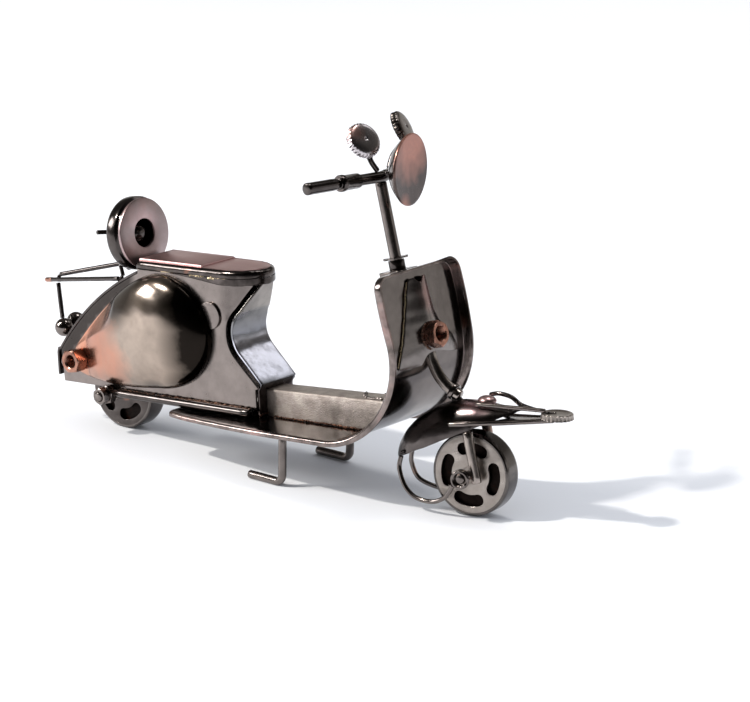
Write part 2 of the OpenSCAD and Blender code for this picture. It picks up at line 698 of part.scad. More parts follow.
fork_l = 6.2;
fork_r = 1.55;
module fork_leg(left) {
  color(gun) steer_frame() hand(left)
    rod([axle_f + 3.3, -fork_l, -51.5], [axle_f + 3.2, -fork_l, axle_h - 2.4], fork_r);
}

front_axle_half = 10.6;
module front_axle() {
  color(gun) front_axle_frame() translate([0, 0, -front_axle_half])
    cylinder(r = axle_r, h = 2 * front_axle_half);
}

coil_from = 8.1;
module front_axle_coils() {
  for (side = [0, 180])
    color(gun) front_axle_frame() rotate([side, 0, 0])
      translate([0, 0, coil_from]) coil_rings(2, 0.62, 3.0);
}

// Trailing wire from the fender's rear corner down and forward to the axle
module wire_loop(left) {
  // The left-hand loop leaves the fender nearer its tip
  b = left ? 1.4 : 0;
  color(gun) steer_frame() hand(left)
    wire(spline([[-8.4 - b, -5.3 + 0.7 * b, -56.4], [-9.6 - b, -5.8 + b, -60],
                 [-8.6 - b, -6.4 + b, -65.4], [-5.4, -7, -69.2],
                 [0, -7.6, -71], [4.6, -8.2, -70.3], [7.4, -8.6, -68.4], [axle_f - 3.6, -8.9,
                     axle_h - 1.6]], 4),
         0.72);
}

// ---------- handlebar, mirrors and headlamp ----------
// Point a fraction k of the way along the right-hand half of the bar
function bar_point(k) = [bar_f - bar_sweep * pow(k, 1.15), -bar_half * k, bar_h + 1.8 * k];
bar_r = 1.7;
grip_from = 0.62;
sleeve_from = 0.35;

module handlebar() {
  left_half = [for (k = [grip_from - 0.02, 0.5, 0.4, 0.3, 0.2, 0.1]) let (p = bar_point(k)) [p[0],
      -p[1], p[2]]];
  right_half = [for (k = [0, 0.1, 0.2, 0.3, 0.4, 0.5, grip_from - 0.02]) bar_point(k)];
  color(dark) steer_frame() wire(concat(left_half, right_half), bar_r, side = [0, 0, 1], n = 12);
}

module grip(left) {
  color(dark) steer_frame() hand(left) rod(bar_point(grip_from), bar_point(1), 1.85);
}

module grip_sleeve(left) {
  p = bar_point(sleeve_from);
  q = bar_point(grip_from - 0.03);
  d = q - p;
  color(gun) steer_frame() hand(left) translate(p)
    rotate([0, acos(d[2] / norm(d)), atan2(d[1], d[0])]) difference() {
      union() {
        cylinder(r = 2.35, h = norm(d));
        translate([0, 0, norm(d) - 1.6]) cylinder(r = 2.7, h = 1.6);
      }
      translate([0, 0, -1]) cylinder(r = bar_r + 0.3, h = norm(d) + 2);
    }
}

// Mirror: toothed shallow cap; azimuth and elevation aim its face
mirror_right_pos = [2.7, -9.5, 39.0];
mirror_left_pos = [5.8, 9.4, 39.8];
module toothed_cap(r) {
  teeth = 30;
  cylinder(r = r, h = 0.9);
  translate([0, 0, 0.9]) cylinder(r1 = r - 0.1, r2 = r - 1.6, h = 0.5);
  for (i = [0:teeth - 1])
    rotate(360 * i / teeth) translate([r - 0.35, -0.32, -0.9]) cube([0.55, 0.64, 1.2]);
}
module aimed(p, azimuth, elevation) {
  translate(p) rotate([0, 0, azimuth]) rotate([0, 90 - elevation, 0]) children();
}
module mirror_cap(p, azimuth, elevation) {
  color(gun) steer_frame() aimed(p, azimuth, elevation) toothed_cap(mirror_r);
}
// [azimuth, elevation] of each mirror's face
mirror_right_aim = [-19.7, 20.5];
mirror_left_aim = [11, 15.9];
module mirror_right() { mirror_cap(mirror_right_pos, mirror_right_aim[0], mirror_right_aim[1]); }
module mirror_left() { mirror_cap(mirror_left_pos, mirror_left_aim[0], mirror_left_aim[1]); }

module mirror_stalks() {
  color(dark) steer_frame() {
    rod([1.45, -3.3, bar_h + 2.5], mirror_right_pos + [-0.9, 2.6, -4.6], 0.9);
    rod([2.05, 3.35, bar_h + 2.5], mirror_left_pos + [-1.4, -1.8, -5.0], 0.9);
  }
}

lamp_pos = [11.2, 0, 27.6];
lamp_pitch = -12.8;
module lamp_frame() { steer_frame() aimed(lamp_pos, 2, lamp_pitch) children(); }

module headlamp_disc() {
  color(copper) lamp_frame() translate([0, 0, -0.8]) difference() {
    cylinder(r = lamp_r, h = 0.8);
    translate([0, 0, 0.7]) cylinder(r1 = lamp_r - 0.8, r2 = lamp_r - 0.6, h = 1);
  }
}

// Shallow pressed bowl behind the disc
lamp_depth = 5.2;
module headlamp_shell() {
  bowl_r = (lamp_r * lamp_r + lamp_depth * lamp_depth) / (2 * lamp_depth);
  color(gun) lamp_frame() translate([0, 0, -0.85]) intersection() {
    translate([0, 0, bowl_r - lamp_depth]) sphere(r = bowl_r);
    translate([0, 0, -lamp_depth - 1]) cylinder(r = lamp_r - 0.3, h = lamp_depth + 1);
  }
}

side_plate(false);  // side_plate_right
side_plate(true);  // side_plate_left
cowl_dome(false);  // cowl_dome_right
cowl_dome(true);  // cowl_dome_left
cowl_tabs();
front_strip();
rear_strip();
seat();
spare_wheel_cup();
spare_wheel_washer();
spare_wheel_stud();
rack_rod_right();
rack_rod_left();
rack_leg();
rack_strut();
tail_ball(false);  // tail_ball_right
tail_ball(true);  // tail_ball_left
signal_nuts();
frame_rod(false);  // frame_rod_right
frame_rod(true);  // frame_rod_left
axle_boss(false);  // axle_boss_right
axle_boss(true);  // axle_boss_left
rear_axle();
rear_axle_nuts();
rear_axle_coils();
floor_and_shield();
tunnel_box();
steering_bracket();
steering_bushing();
horn_cover();
horn_nut();
stand(false);  // stand_right
stand(true);  // stand_left
rear_wheel();
steering_rod();
push_on_washer();
stem_collar();
fender();
crest_plate();
crest_rod_right();
crest_rod_left();
fender_button();
crest_disc();
fork_leg(false);  // fork_leg_right
fork_leg(true);  // fork_leg_left
front_axle();
front_axle_coils();
wire_loop(false);  // wire_loop_right
wire_loop(true);  // wire_loop_left
handlebar();
grip(false);  // grip_right
grip(true);  // grip_left
grip_sleeve(false);  // grip_sleeve_right
grip_sleeve(true);  // grip_sleeve_left
mirror_right();
mirror_left();
mirror_stalks();
headlamp_disc();
headlamp_shell();
front_wheel();
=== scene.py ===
"""Welded iron-art scooter ornament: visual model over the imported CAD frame.

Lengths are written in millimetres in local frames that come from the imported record: BODY (u forward,
y left, v up, origin on the rear axle), STEER (f forward, l left, h up the steering axis), COLUMN
(STEER with the bars straight) and one frame along each wheel's axle.
"""
import json
import random
from math import acos, asin, atan2, cos, degrees, pi, radians as rad, sin, sqrt, tan

import bmesh
import bpy
from mathutils import Matrix, Vector, noise


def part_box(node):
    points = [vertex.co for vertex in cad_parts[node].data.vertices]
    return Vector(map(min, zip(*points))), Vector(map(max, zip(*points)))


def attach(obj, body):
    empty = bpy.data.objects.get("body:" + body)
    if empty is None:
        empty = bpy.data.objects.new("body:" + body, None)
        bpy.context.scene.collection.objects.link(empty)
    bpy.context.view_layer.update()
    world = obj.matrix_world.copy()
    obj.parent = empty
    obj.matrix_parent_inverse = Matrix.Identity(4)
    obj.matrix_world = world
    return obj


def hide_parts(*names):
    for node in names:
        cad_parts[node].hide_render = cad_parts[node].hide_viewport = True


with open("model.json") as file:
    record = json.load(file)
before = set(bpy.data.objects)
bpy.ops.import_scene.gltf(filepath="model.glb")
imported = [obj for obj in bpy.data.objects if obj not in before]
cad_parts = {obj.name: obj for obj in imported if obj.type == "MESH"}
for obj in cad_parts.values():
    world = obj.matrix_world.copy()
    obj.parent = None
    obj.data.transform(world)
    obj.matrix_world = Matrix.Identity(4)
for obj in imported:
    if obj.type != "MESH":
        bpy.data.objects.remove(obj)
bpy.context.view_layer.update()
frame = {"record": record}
REC = frame["record"]
RNG = random.Random(7)
MM = 0.001
V = Vector


# ---------- frames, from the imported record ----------
def joint(name):
    return next(j for j in REC["behaviour"]["joints"] if j["name"] == name)


def basis(origin, x, y, z):
    m = Matrix((x.normalized(), y.normalized(), z.normalized())).transposed().to_4x4()
    m.translation = origin
    return m


LEFT = V((0, 1, 0))
UP = V(REC["mounts"][0]["axis"])
BODY = basis(V(joint("rear_wheel_spin")["pos_m"]), LEFT.cross(UP), LEFT, UP)
AXIS = V(joint("steering_turn")["axis"])
TURNED = V(joint("front_wheel_spin")["axis"])
STEER_AT = V(joint("steering_turn")["pos_m"])
FRONT_AT = V(joint("front_wheel_spin")["pos_m"])
STEER = basis(STEER_AT, TURNED.cross(AXIS), TURNED, AXIS)
COLUMN = basis(STEER_AT, LEFT.cross(AXIS), LEFT, AXIS)
AXLEWISE = Matrix.Rotation(rad(90), 4, "X")
REAR_WHEEL = BODY @ AXLEWISE
FRONT_WHEEL = basis(FRONT_AT, TURNED.cross(AXIS), TURNED, AXIS) @ AXLEWISE
AXLE_F, _, AXLE_H = STEER.inverted() @ FRONT_AT * 1000
MIRROR = Matrix.Scale(-1, 4, (0, 1, 0))


def shift(x, y, z):
    return Matrix.Translation(V((x, y, z)) * MM)


def at(place, p):
    return place @ shift(*p)


def turned_to(place, p, azimuth, elevation):
    """A frame at p whose +Z points at azimuth and elevation, in degrees."""
    return at(place, p) @ Matrix.Rotation(rad(azimuth), 4, "Z") @ Matrix.Rotation(rad(90 - elevation), 4, "Y")


# ---------- camera first ----------
cam = bpy.data.cameras.new("camera")
cam.lens = 154.2
cam.sensor_width = 36
cam.clip_end = 20
camera = bpy.data.objects.new("camera", cam)
back = V((0.59999, -0.75270, 0.27101)).normalized()
right = V((0.7795, 0.62625, 0.01362)).normalized()
camera.matrix_world = basis(V((0.62012, -0.73174, 0.30776)), right, back.cross(right), back)
bpy.context.collection.objects.link(camera)
bpy.context.scene.camera = camera


# ---------- small mathematics ----------
def mix(a, b, k):
    return a + (b - a) * k


def clamp(x, a=0.0, b=1.0):
    return max(a, min(b, x))


def smooth(k):
    k = clamp(k)
    return k * k * (3 - 2 * k)


def polar(r, a, c=(0, 0)):
    """Point at radius r and angle a, in radians, from c."""
    return c[0] + r * cos(a), c[1] + r * sin(a)


def turns(n):
    """n even angles once round, in radians."""
    return [2 * pi * i / n for i in range(n)]


def circle(r, n=96):
    return [polar(r, a) for a in turns(n)]


def arc(c, r, a0, a1, n):
    return [polar(r, rad(mix(a0, a1, i / n)), c) for i in range(n + 1)]


def spline(points, n=8):
    """Smooth curve through the points, with n steps between each two."""
    p = [V(q) for q in points]
    out = []
    for i in range(len(p) - 1):
        a, b, c, d = p[max(i - 1, 0)], p[i], p[i + 1], p[min(i + 2, len(p) - 1)]
        for k in range(n):
            t = k / n
            out.append(0.5 * (2 * b + (c - a) * t + (2 * a - 5 * b + 4 * c - d) * t * t
                + (3 * b - a - 3 * c + d) * t ** 3))
    out.append(p[-1])
    return out


def ripple(x, y, z):
    return noise.noise(V((x, y, z)))


# ---------- meshes as (vertices in mm, faces) ----------
def joined(*parts):
    verts, faces = [], []
    for v, f in parts:
        base = len(verts)
        verts += list(v)
        faces += [[base + i for i in q] for q in f]
    return verts, faces


def moved(part, m):
    """Part carried by a matrix whose translation is in metres."""
    return [m @ (V(v) * MM) * 1000 for v in part[0]], part[1]


def both_sides(part):
    """The part and its mirror image."""
    return joined(part, ([V((x, -y, z)) for x, y, z in part[0]], part[1]))


def capped(rows):
    """Closed rings joined by quads, the last one filled."""
    return joined(grid(rows, closed=True), ([V(p) for p in rows[-1]], [list(range(len(rows[-1])))]))


def grid(rows, keep=None, closed=False):
    """Quads over equal rows of points; keep(i, j) may leave a face out."""
    n, m = len(rows), len(rows[0])
    verts = [V(p) for row in rows for p in row]
    faces = []
    for i in range(n - 1):
        for j in range(m if closed else m - 1):
            k = (j + 1) % m
            if keep is None or keep(i, j):
                faces.append([i * m + j, i * m + k, (i + 1) * m + k, (i + 1) * m + j])
    return verts, faces


def lathe(profile, n=96):
    """Profile of (radius, z) turned about Z; a radius of 0 closes it."""
    verts, faces, rings = [], [], []
    for r, z in profile:
        if r <= 1e-6:
            rings.append([len(verts)] * n)
            verts.append(V((0, 0, z)))
        else:
            rings.append(list(range(len(verts), len(verts) + n)))
            verts += [V((*polar(r, a), z)) for a in turns(n)]
    for a, b in zip(rings, rings[1:]):
        for i in range(n):
            k = (i + 1) % n
            q = [a[i], a[k], b[k], b[i]]
            q = [x for t, x in enumerate(q) if x not in q[:t]]
            if len(q) > 2:
                faces.append(q)
    return verts, faces


def ring_profile(r0, r1, z0, z1, bevel=0.15):
    """Closed section of a washer or sleeve, with softened edges."""
    b = bevel
    return [(r0 + b, z0), (r1 - b, z0), (r1 - b * 0.3, z0 + b * 0.3), (r1, z0 + b), (r1, z1 - b),
        (r1 - b * 0.3, z1 - b * 0.3), (r1 - b, z1), (r0 + b, z1), (r0 + b * 0.3, z1 - b * 0.3),
        (r0, z1 - b), (r0, z0 + b), (r0 + b * 0.3, z0 + b * 0.3), (r0 + b, z0)]


def tube(path, r, n=20, end=0.3, wobble=0.0):
    """Round rod along a path, its ends softened over end mm; r may be a number or a list."""
    p = [V(q) for q in path]
    rs = list(r) if isinstance(r, (list, tuple)) else [r] * len(p)
    first, last = (p[0] - p[1]).normalized(), (p[-1] - p[-2]).normalized()
    p = ([p[0], p[0] - first * end * 0.35, p[0] - first * end] + p[1:-1]
        + [p[-1] - last * end, p[-1] - last * end * 0.35, p[-1]])
    rs = [rs[0] - end, rs[0] - end * 0.35, rs[0]] + rs[1:-1] + [rs[-1], rs[-1] - end * 0.35, rs[-1] - end]
    t = [(p[min(i + 1, len(p) - 1)] - p[max(i - 1, 0)]).normalized() for i in range(len(p))]
    side = V((0, 1, 0)) if abs(t[0].y) < 0.9 else V((0, 0, 1))
    rows = []
    for q, ahead, radius in zip(p, t, rs):
        side = (side - ahead * side.dot(ahead)).normalized()
        other = ahead.cross(side)
        row = []
        for a in turns(n):
            rr = radius * (1 + wobble * noise.noise(q * 0.35 + V((cos(a), sin(a), 5))))
            row.append(q + (side * cos(a) + other * sin(a)) * rr)
        rows.append(row)
    v, f = grid(rows, closed=True)
    for base, tip in ((0, p[0]), ((len(p) - 1) * n, p[-1])):
        v.append(tip)
        f += [[base + k, base + (k + 1) % n, len(v) - 1] for k in range(n)]
    return v, f


def rod(a, b, r, end=0.3, steps=6, wobble=0.0):
    return tube([V(a).lerp(V(b), i / steps) for i in range(steps + 1)], r, end=end, wobble=wobble)


def helix(rounds, mean_r, pitch, wire_r, z0):
    n = int(rounds * 28)
    path = [(*polar(mean_r, 2 * pi * rounds * i / n), z0 + pitch * rounds * i / n) for i in range(n + 1)]
    return tube(path, wire_r, n=12, end=wire_r * 0.5)


def hex_nut(af, h, hole):
    """Pressed hex nut, af across flats, with turned chamfers and a ribbed bore, base on z = 0."""
    around = turns(96)
    face_r = af / 2 * 0.98
    rows = []
    for top, ring in ((0, 1), (0, 2), (0, 3), (1, 3), (1, 2), (1, 1)):
        row = []
        for a in around:
            full = af / 2 / cos(rad((degrees(a) % 60) - 30))
            cut = max(0.0, full - face_r) * 0.5
            if ring == 1:
                r, z = hole + 0.35, h * top
            elif ring == 2:
                r, z = min(full, face_r), h * top
            else:
                r, z = full, (h - cut - 0.05 if top else cut + 0.05)
            row.append(V((*polar(r, a), z)))
        rows.append(row)
    grooves = max(6, int(h / 0.45) * 2)
    for g in range(grooves + 1):
        z = h - 0.3 - (h - 0.6) * g / grooves
        rows.append([V((*polar(hole + 0.12 * (g % 2), a), z)) for a in around])
    rows.append(rows[0])
    return grid(rows, closed=True)


def blob(p, r, seed):
    bm = bmesh.new()
    bmesh.ops.create_icosphere(bm, subdivisions=3 if r >= 0.5 else 2, radius=1.0)
    out = []
    for v in bm.verts:
        k = 1 + 0.28 * noise.noise(v.co * 1.7 + V((seed, seed * 0.3, 0)))
        out.append(V(p) + V((v.co.x * k * r, v.co.y * k * r, v.co.z * k * r)))
    faces = [[v.index for v in f.verts] for f in bm.faces]
    bm.free()
    return out, faces


def weld(path, r, gap=0.6, jitter=0.25):
    """Row of run-together weld beads along a path."""
    p = [V(q) for q in path]
    parts = []
    length = sum((b - a).length for a, b in zip(p, p[1:]))
    count = max(2, int(length / (r * gap)))
    for k in range(count + 1):
        s, rest = length * k / count, 0.0
        for a, b in zip(p, p[1:]):
            d = (b - a).length
            if rest + d >= s - 1e-9:
                q = a.lerp(b, (s - rest) / d if d else 0)
                break
            rest += d
        j = V((RNG.uniform(-1, 1), RNG.uniform(-1, 1), RNG.uniform(-1, 1))) * r * jitter
        parts.append(blob(q + j, r * RNG.uniform(0.7, 1.1), RNG.uniform(0, 50)))
    return joined(*parts)


# ---------- materials ----------
def material(name, build):
    m = bpy.data.materials.new(name)
    m.use_nodes = True
    t = m.node_tree
    t.nodes.clear()
    out = t.nodes.new("ShaderNodeOutputMaterial")
    bsdf = t.nodes.new("ShaderNodeBsdfPrincipled")
    t.links.new(bsdf.outputs["BSDF"], out.inputs["Surface"])
    build(t, bsdf)
    return m


def node(t, kind, **values):
    n = t.nodes.new(kind)
    for key, value in values.items():
        if key in n.inputs:
            n.inputs[key].default_value = value
        else:
            setattr(n, key, value)
    return n


def feed(t, sock, x):
    """Set a socket to a number or a colour, or link it to another socket."""
    if isinstance(x, (int, float)):
        sock.default_value = x
    elif isinstance(x, tuple):
        sock.default_value = (*x, 1)
    else:
        t.links.new(x, sock)


def noise_of(t, coord, scale, detail, rough=0.55, distort=0.0):
    n = node(t, "ShaderNodeTexNoise", Scale=scale, Detail=detail, Roughness=rough, Distortion=distort)
    t.links.new(coord, n.inputs["Vector"])
    return n.outputs["Fac"]


def ramp(t, fac, stops):
    n = t.nodes.new("ShaderNodeValToRGB")
    while len(n.color_ramp.elements) < len(stops):
        n.color_ramp.elements.new(0.5)
    for e, (pos, col) in zip(n.color_ramp.elements, stops):
        e.position = pos
        e.color = (*col, 1)
    t.links.new(fac, n.inputs["Fac"])
    return n.outputs["Color"]


def mapped(t, value, a, b, c=0.0, d=1.0):
    """Value carried from the range a to b into c to d, and held there."""
    n = node(t, "ShaderNodeMapRange", clamp=True)
    for key, x in (("From Min", a), ("From Max", b), ("To Min", c), ("To Max", d)):
        n.inputs[key].default_value = x
    t.links.new(value, n.inputs["Value"])
    return n.outputs["Result"]


def mathed(t, op, a, b):
    n = node(t, "ShaderNodeMath", operation=op)
    feed(t, n.inputs[0], a)
    feed(t, n.inputs[1], b)
    return n.outputs[0]


def mixed(t, fac, a, b, blend="MIX"):
    n = node(t, "ShaderNodeMix", data_type="RGBA", blend_type=blend)
    feed(t, n.inputs[0], fac)
    feed(t, n.inputs[6], a)
    feed(t, n.inputs[7], b)
    return n.outputs[2]


def vector_node(t, op, coord, constant):
    n = node(t, "ShaderNodeVectorMath", operation=op)
    t.links.new(coord, n.inputs[0])
    n.inputs[1].default_value = constant
    return n.outputs["Value"]


COPPER = (0.52, 0.225, 0.145)
ROSE = (0.40, 0.235, 0.22)


def plated(name, base, dark, tint=COPPER, tint_cover=0.03, tint_scale=45.0, spots=(), painted_shades=(),
        rough=(0.12, 0.24), bump=0.08, dents=0.0, grain=0.0, bands=None, cloud=0.62):
    """Plated, heat-tinted steel: base clouded with dark, under patches of tint. spots are (place in
    metres, radius in metres, strength) where the plating turned to the tint colour; shade patches
    are given the same way and paint shade and dark reflections, nearly black. bands paints reflections
    by height in a frame, in place of base. dents and grain add hammering and sand texture."""
    # nearly black colour of the painted shade patches
    painted_shade_colour = tuple(c * 0.12 for c in dark)

    def build(t, bsdf):
        coord = t.nodes.new("ShaderNodeTexCoord").outputs["Object"]
        big = noise_of(t, coord, tint_scale, 3, 0.5, 0.6)
        mid = noise_of(t, coord, tint_scale * 5, 5, 0.62)
        fine = noise_of(t, coord, 900, 3, 0.6)

        def plus(a, b):
            return mathed(t, "ADD", a, b)

        def times(a, b):
            return mathed(t, "MULTIPLY", a, b)

        def swing(x, size):
            return times(mathed(t, "SUBTRACT", x, 0.5), size)

        def patches(cover, places, ragged, core):
            for place, radius, strength in places:
                wavy = plus(vector_node(t, "DISTANCE", coord, place), swing(mid, radius * ragged))
                cover = mathed(t, "MAXIMUM", cover, mapped(t, wavy, radius, radius * core, 0, strength))
            return cover

        if bands:
            place, stops = bands
            row = place.inverted()[2]
            across = plus(plus(vector_node(t, "DOT_PRODUCT", coord, tuple(row[:3])), row[3]),
                swing(big, 0.003))
            low, high = stops[0][0] * MM, stops[-1][0] * MM
            steps = [((x * MM - low) / (high - low), c) for x, c in stops]
            body = mixed(t, mapped(t, mid, 0.45, 0.8, 0, 0.5), ramp(t, mapped(t, across, low, high), steps),
                dark)
        else:
            body = mixed(t, mapped(t, mid, 0.35, 0.75, 0, cloud), base, dark)
        # painted shade: the shade patches darken the colour nearly to black
        if painted_shades:
            body = mixed(t, patches(0.0, painted_shades, 0.25, 0.6), body, painted_shade_colour)
        cover = mapped(t, big, 0.72 - tint_cover, 0.80 - tint_cover * 0.6)
        cover = patches(times(cover, 0.75), spots, 0.7, 0.35)
        speck = mapped(t, fine, 0.45, 0.75, 0.82, 1.0)
        t.links.new(mixed(t, times(cover, speck), body, tint), bsdf.inputs["Base Color"])
        t.links.new(plus(mapped(t, mid, 0.3, 0.75, *rough), times(cover, 0.10)), bsdf.inputs["Roughness"])
        bsdf.inputs["Metallic"].default_value = 1.0
        height = times(noise_of(t, coord, 260, 3, 0.5), bump)
        if dents:
            n = node(t, "ShaderNodeTexVoronoi", Scale=330.0, feature="SMOOTH_F1")
            t.links.new(coord, n.inputs["Vector"])
            height = plus(height, times(n.outputs["Distance"], dents))
        if grain:
            height = plus(height, times(noise_of(t, coord, 2600, 2, 0.7), grain))
        b = node(t, "ShaderNodeBump", Strength=0.55, Distance=0.0006)
        t.links.new(height, b.inputs["Height"])
        t.links.new(b.outputs["Normal"], bsdf.inputs["Normal"])
    return material(name, build)


def spot(place, p, radius, strength=0.95):
    return tuple(place @ (V(p) * MM)), radius * MM, strength


M_DOME = {}
for hand, side in (("right", -1), ("left", 1)):
    M_DOME[hand] = plated(
        "cowl_plating_" + hand, (0.33, 0.27, 0.225), (0.12, 0.096, 0.08), tint_cover=0.0, rough=(0.12, 0.20),
        bump=0.03, cloud=0.4,
        spots=[spot(BODY, (-4, side * 12, 16), 18, 0.97), spot(BODY, (5, side * 17, 12), 12, 0.8),
               spot(BODY, (-10, side * 11, 10), 9, 0.9)],
        # shade patches: painted shade and dark reflection round the cowl's front rim, top and bottom; the
        # spots are copper tint
        painted_shades=[spot(BODY, (46, side * 12, 35), 19, 1.0), spot(BODY, (51, side * 12, 20), 22, 1.0),
                spot(BODY, (46, side * 12, 3), 18, 1.0), spot(BODY, (8, side * 12, 36), 15, 0.8),
                spot(BODY, (24, side * 14, 2), 7, 0.6)])
# painted shade along the plates' back edge, in the gap between the cowl and the rear strip
PAINTED_SHADE_BACK = ((-20, 14.5), (-16.5, 18.8), (-13, 22.7), (-9, 26.7), (-5, 30.3), (-1, 33.5), (3, 36.4),
    (7, 38.9))
M_PLATE = plated("satin_plate", (0.205, 0.177, 0.165), (0.145, 0.124, 0.115), tint_cover=0.02,
    rough=(0.19, 0.30), bump=0.07, dents=0.02, cloud=0.7,
    painted_shades=[spot(BODY, (u, side * 9, v), 7.5, 0.85) for u, v in PAINTED_SHADE_BACK for side in (-1, 1)])
M_GUN = plated("gunmetal", (0.19, 0.165, 0.153), (0.075, 0.064, 0.06), bump=0.10)
M_INK = plated("black_nickel", (0.085, 0.074, 0.07), (0.03, 0.026, 0.025), tint_cover=0.04, bump=0.12,
    dents=0.02)
M_FLOOR = plated("polished_sheet", (0.155, 0.137, 0.130), (0.10, 0.088, 0.083), tint=ROSE, rough=(0.10, 0.20),
    bump=0.05, cloud=0.5)
M_EDGE = plated("worn_edge", (0.22, 0.182, 0.17), (0.04, 0.034, 0.031), tint=(0.42, 0.27, 0.25),
    tint_cover=0.14, tint_scale=60, bump=0.06, cloud=0.9)
# the strip's colours are painted reflections that change with its slope, given by height in mm: a bright
# bluish band low down, darker above and below
STRIP_REFLECTION_BANDS = [(-1, (0.08, 0.062, 0.056)), (8, (0.10, 0.083, 0.08)), (9.6, (0.12, 0.125, 0.14)),
    (11.2, (0.55, 0.56, 0.64)), (21.5, (0.62, 0.62, 0.70)), (23.5, (0.22, 0.225, 0.25)),
    (30.5, (0.18, 0.175, 0.17)), (32, (0.30, 0.275, 0.25)), (42, (0.24, 0.215, 0.20))]
M_STRIP = plated("hammered_strip", None, (0.10, 0.095, 0.095), tint_cover=0.0, rough=(0.16, 0.28), dents=0.05,
    grain=0.02, bands=(BODY, STRIP_REFLECTION_BANDS))
M_SEAT = plated("seat_plating", (0.46, 0.33, 0.325), (0.30, 0.22, 0.215), tint=(0.62, 0.38, 0.37),
    tint_cover=0.45, tint_scale=30, rough=(0.26, 0.38))
M_SKIRT = plated("seat_skirt", (0.10, 0.085, 0.08), (0.02, 0.017, 0.015), tint_cover=0.05, rough=(0.12, 0.28),
    bump=0.4, dents=0.25, cloud=0.9)
M_WASHER = plated("washer_face", (0.40, 0.32, 0.32), (0.28, 0.225, 0.225), tint=(0.50, 0.30, 0.285),
    tint_cover=0.35, rough=(0.28, 0.42))
# shade patches: painted shade low on the box's near side towards its front end, where it runs into the bend
# of the sheet
M_SAND = plated("sand_blasted", (0.47, 0.415, 0.375), (0.22, 0.185, 0.165), rough=(0.40, 0.56), bump=0.25,
    grain=0.9, cloud=0.9, painted_shades=[spot(BODY, (u, -5, 0), 8, 0.35) for u in (90, 97, 104)])
M_COPPER = plated("copper_nut", (0.25, 0.13, 0.098), (0.07, 0.038, 0.03), tint=(0.55, 0.27, 0.19),
    tint_cover=0.36, tint_scale=110, rough=(0.16, 0.32), bump=0.12)
M_WHEEL = plated("wheel_face", (0.37, 0.33, 0.30), (0.22, 0.19, 0.17), rough=(0.26, 0.38), bump=0.12,
    grain=0.2)
M_ROD = plated("rod_plating", (0.36, 0.315, 0.285), (0.15, 0.13, 0.12), rough=(0.16, 0.28), bump=0.12)
M_RIM = plated("wheel_rim", (0.13, 0.116, 0.109), (0.07, 0.062, 0.059))
# the wheels' inside, seen through the slots: nearly black as painted shade in the hollow wheel, with a real
# rust tint
M_SHADE_AND_RUST = plated("wheel_inside", (0.010, 0.007, 0.006), (0.005, 0.004, 0.004), tint=(0.10, 0.028, 0.013),
    tint_cover=0.10, tint_scale=140, rough=(0.35, 0.55), bump=0.2)
M_LAMP = plated("lamp_plating", (0.085, 0.068, 0.063), (0.055, 0.044, 0.041), tint=(0.46, 0.215, 0.165),
    tint_cover=0.05, spots=[spot(STEER, (13, 0, 36), 14.0, 0.92), spot(STEER, (9, -4, 17), 4.5, 0.6)],
    rough=(0.24, 0.34), bump=0.12)
# pale, bluish base: a painted reflection in the near mirror's face; the copper spot is tint
M_MIRROR = plated("mirror_plating", (0.62, 0.58, 0.60), (0.34, 0.31, 0.32), tint=(0.46, 0.23, 0.18),
    tint_cover=0.06, tint_scale=70, spots=[spot(STEER, (1.6, -12.2, 42.0), 4.2, 0.85)],
    rough=(0.16, 0.28))
M_SHIELD = plated("cover_plating", (0.22, 0.198, 0.188), (0.15, 0.134, 0.127), tint=(0.45, 0.25, 0.235),
    tint_cover=0.0, spots=[spot(BODY, (121, 5.5, 41), 8, 0.9), spot(BODY, (119, 2.5, 47), 4.5, 0.8)],
    rough=(0.16, 0.28), bump=0.06)
M_FENDER = plated("fender_plating", (0.10, 0.087, 0.083), (0.035, 0.03, 0.029), tint=(0.42, 0.27, 0.29),
    tint_cover=0.06, spots=[spot(STEER, (19, 0, -43), 8, 0.75)], rough=(0.14, 0.28), bump=0.16,
    dents=0.10)
M_BRASS = plated("weld_brass", (0.36, 0.29, 0.18), (0.12, 0.09, 0.05), tint=(0.58, 0.46, 0.30),
    tint_cover=0.4, tint_scale=200, rough=(0.18, 0.36), bump=0.3)
M_BROWN = plated("weld_brown", (0.12, 0.07, 0.052), (0.04, 0.025, 0.02), tint=(0.33, 0.16, 0.10),
    tint_cover=0.25, tint_scale=220, rough=(0.22, 0.42), bump=0.35)


# ---------- making a piece ----------
BOTH = (("right", False), ("left", True))
FRAME, STEERING = "frame", "steering_body"
PLATED, SATIN, TINTED = "plated_steel", "satin_steel", "copper_tint"


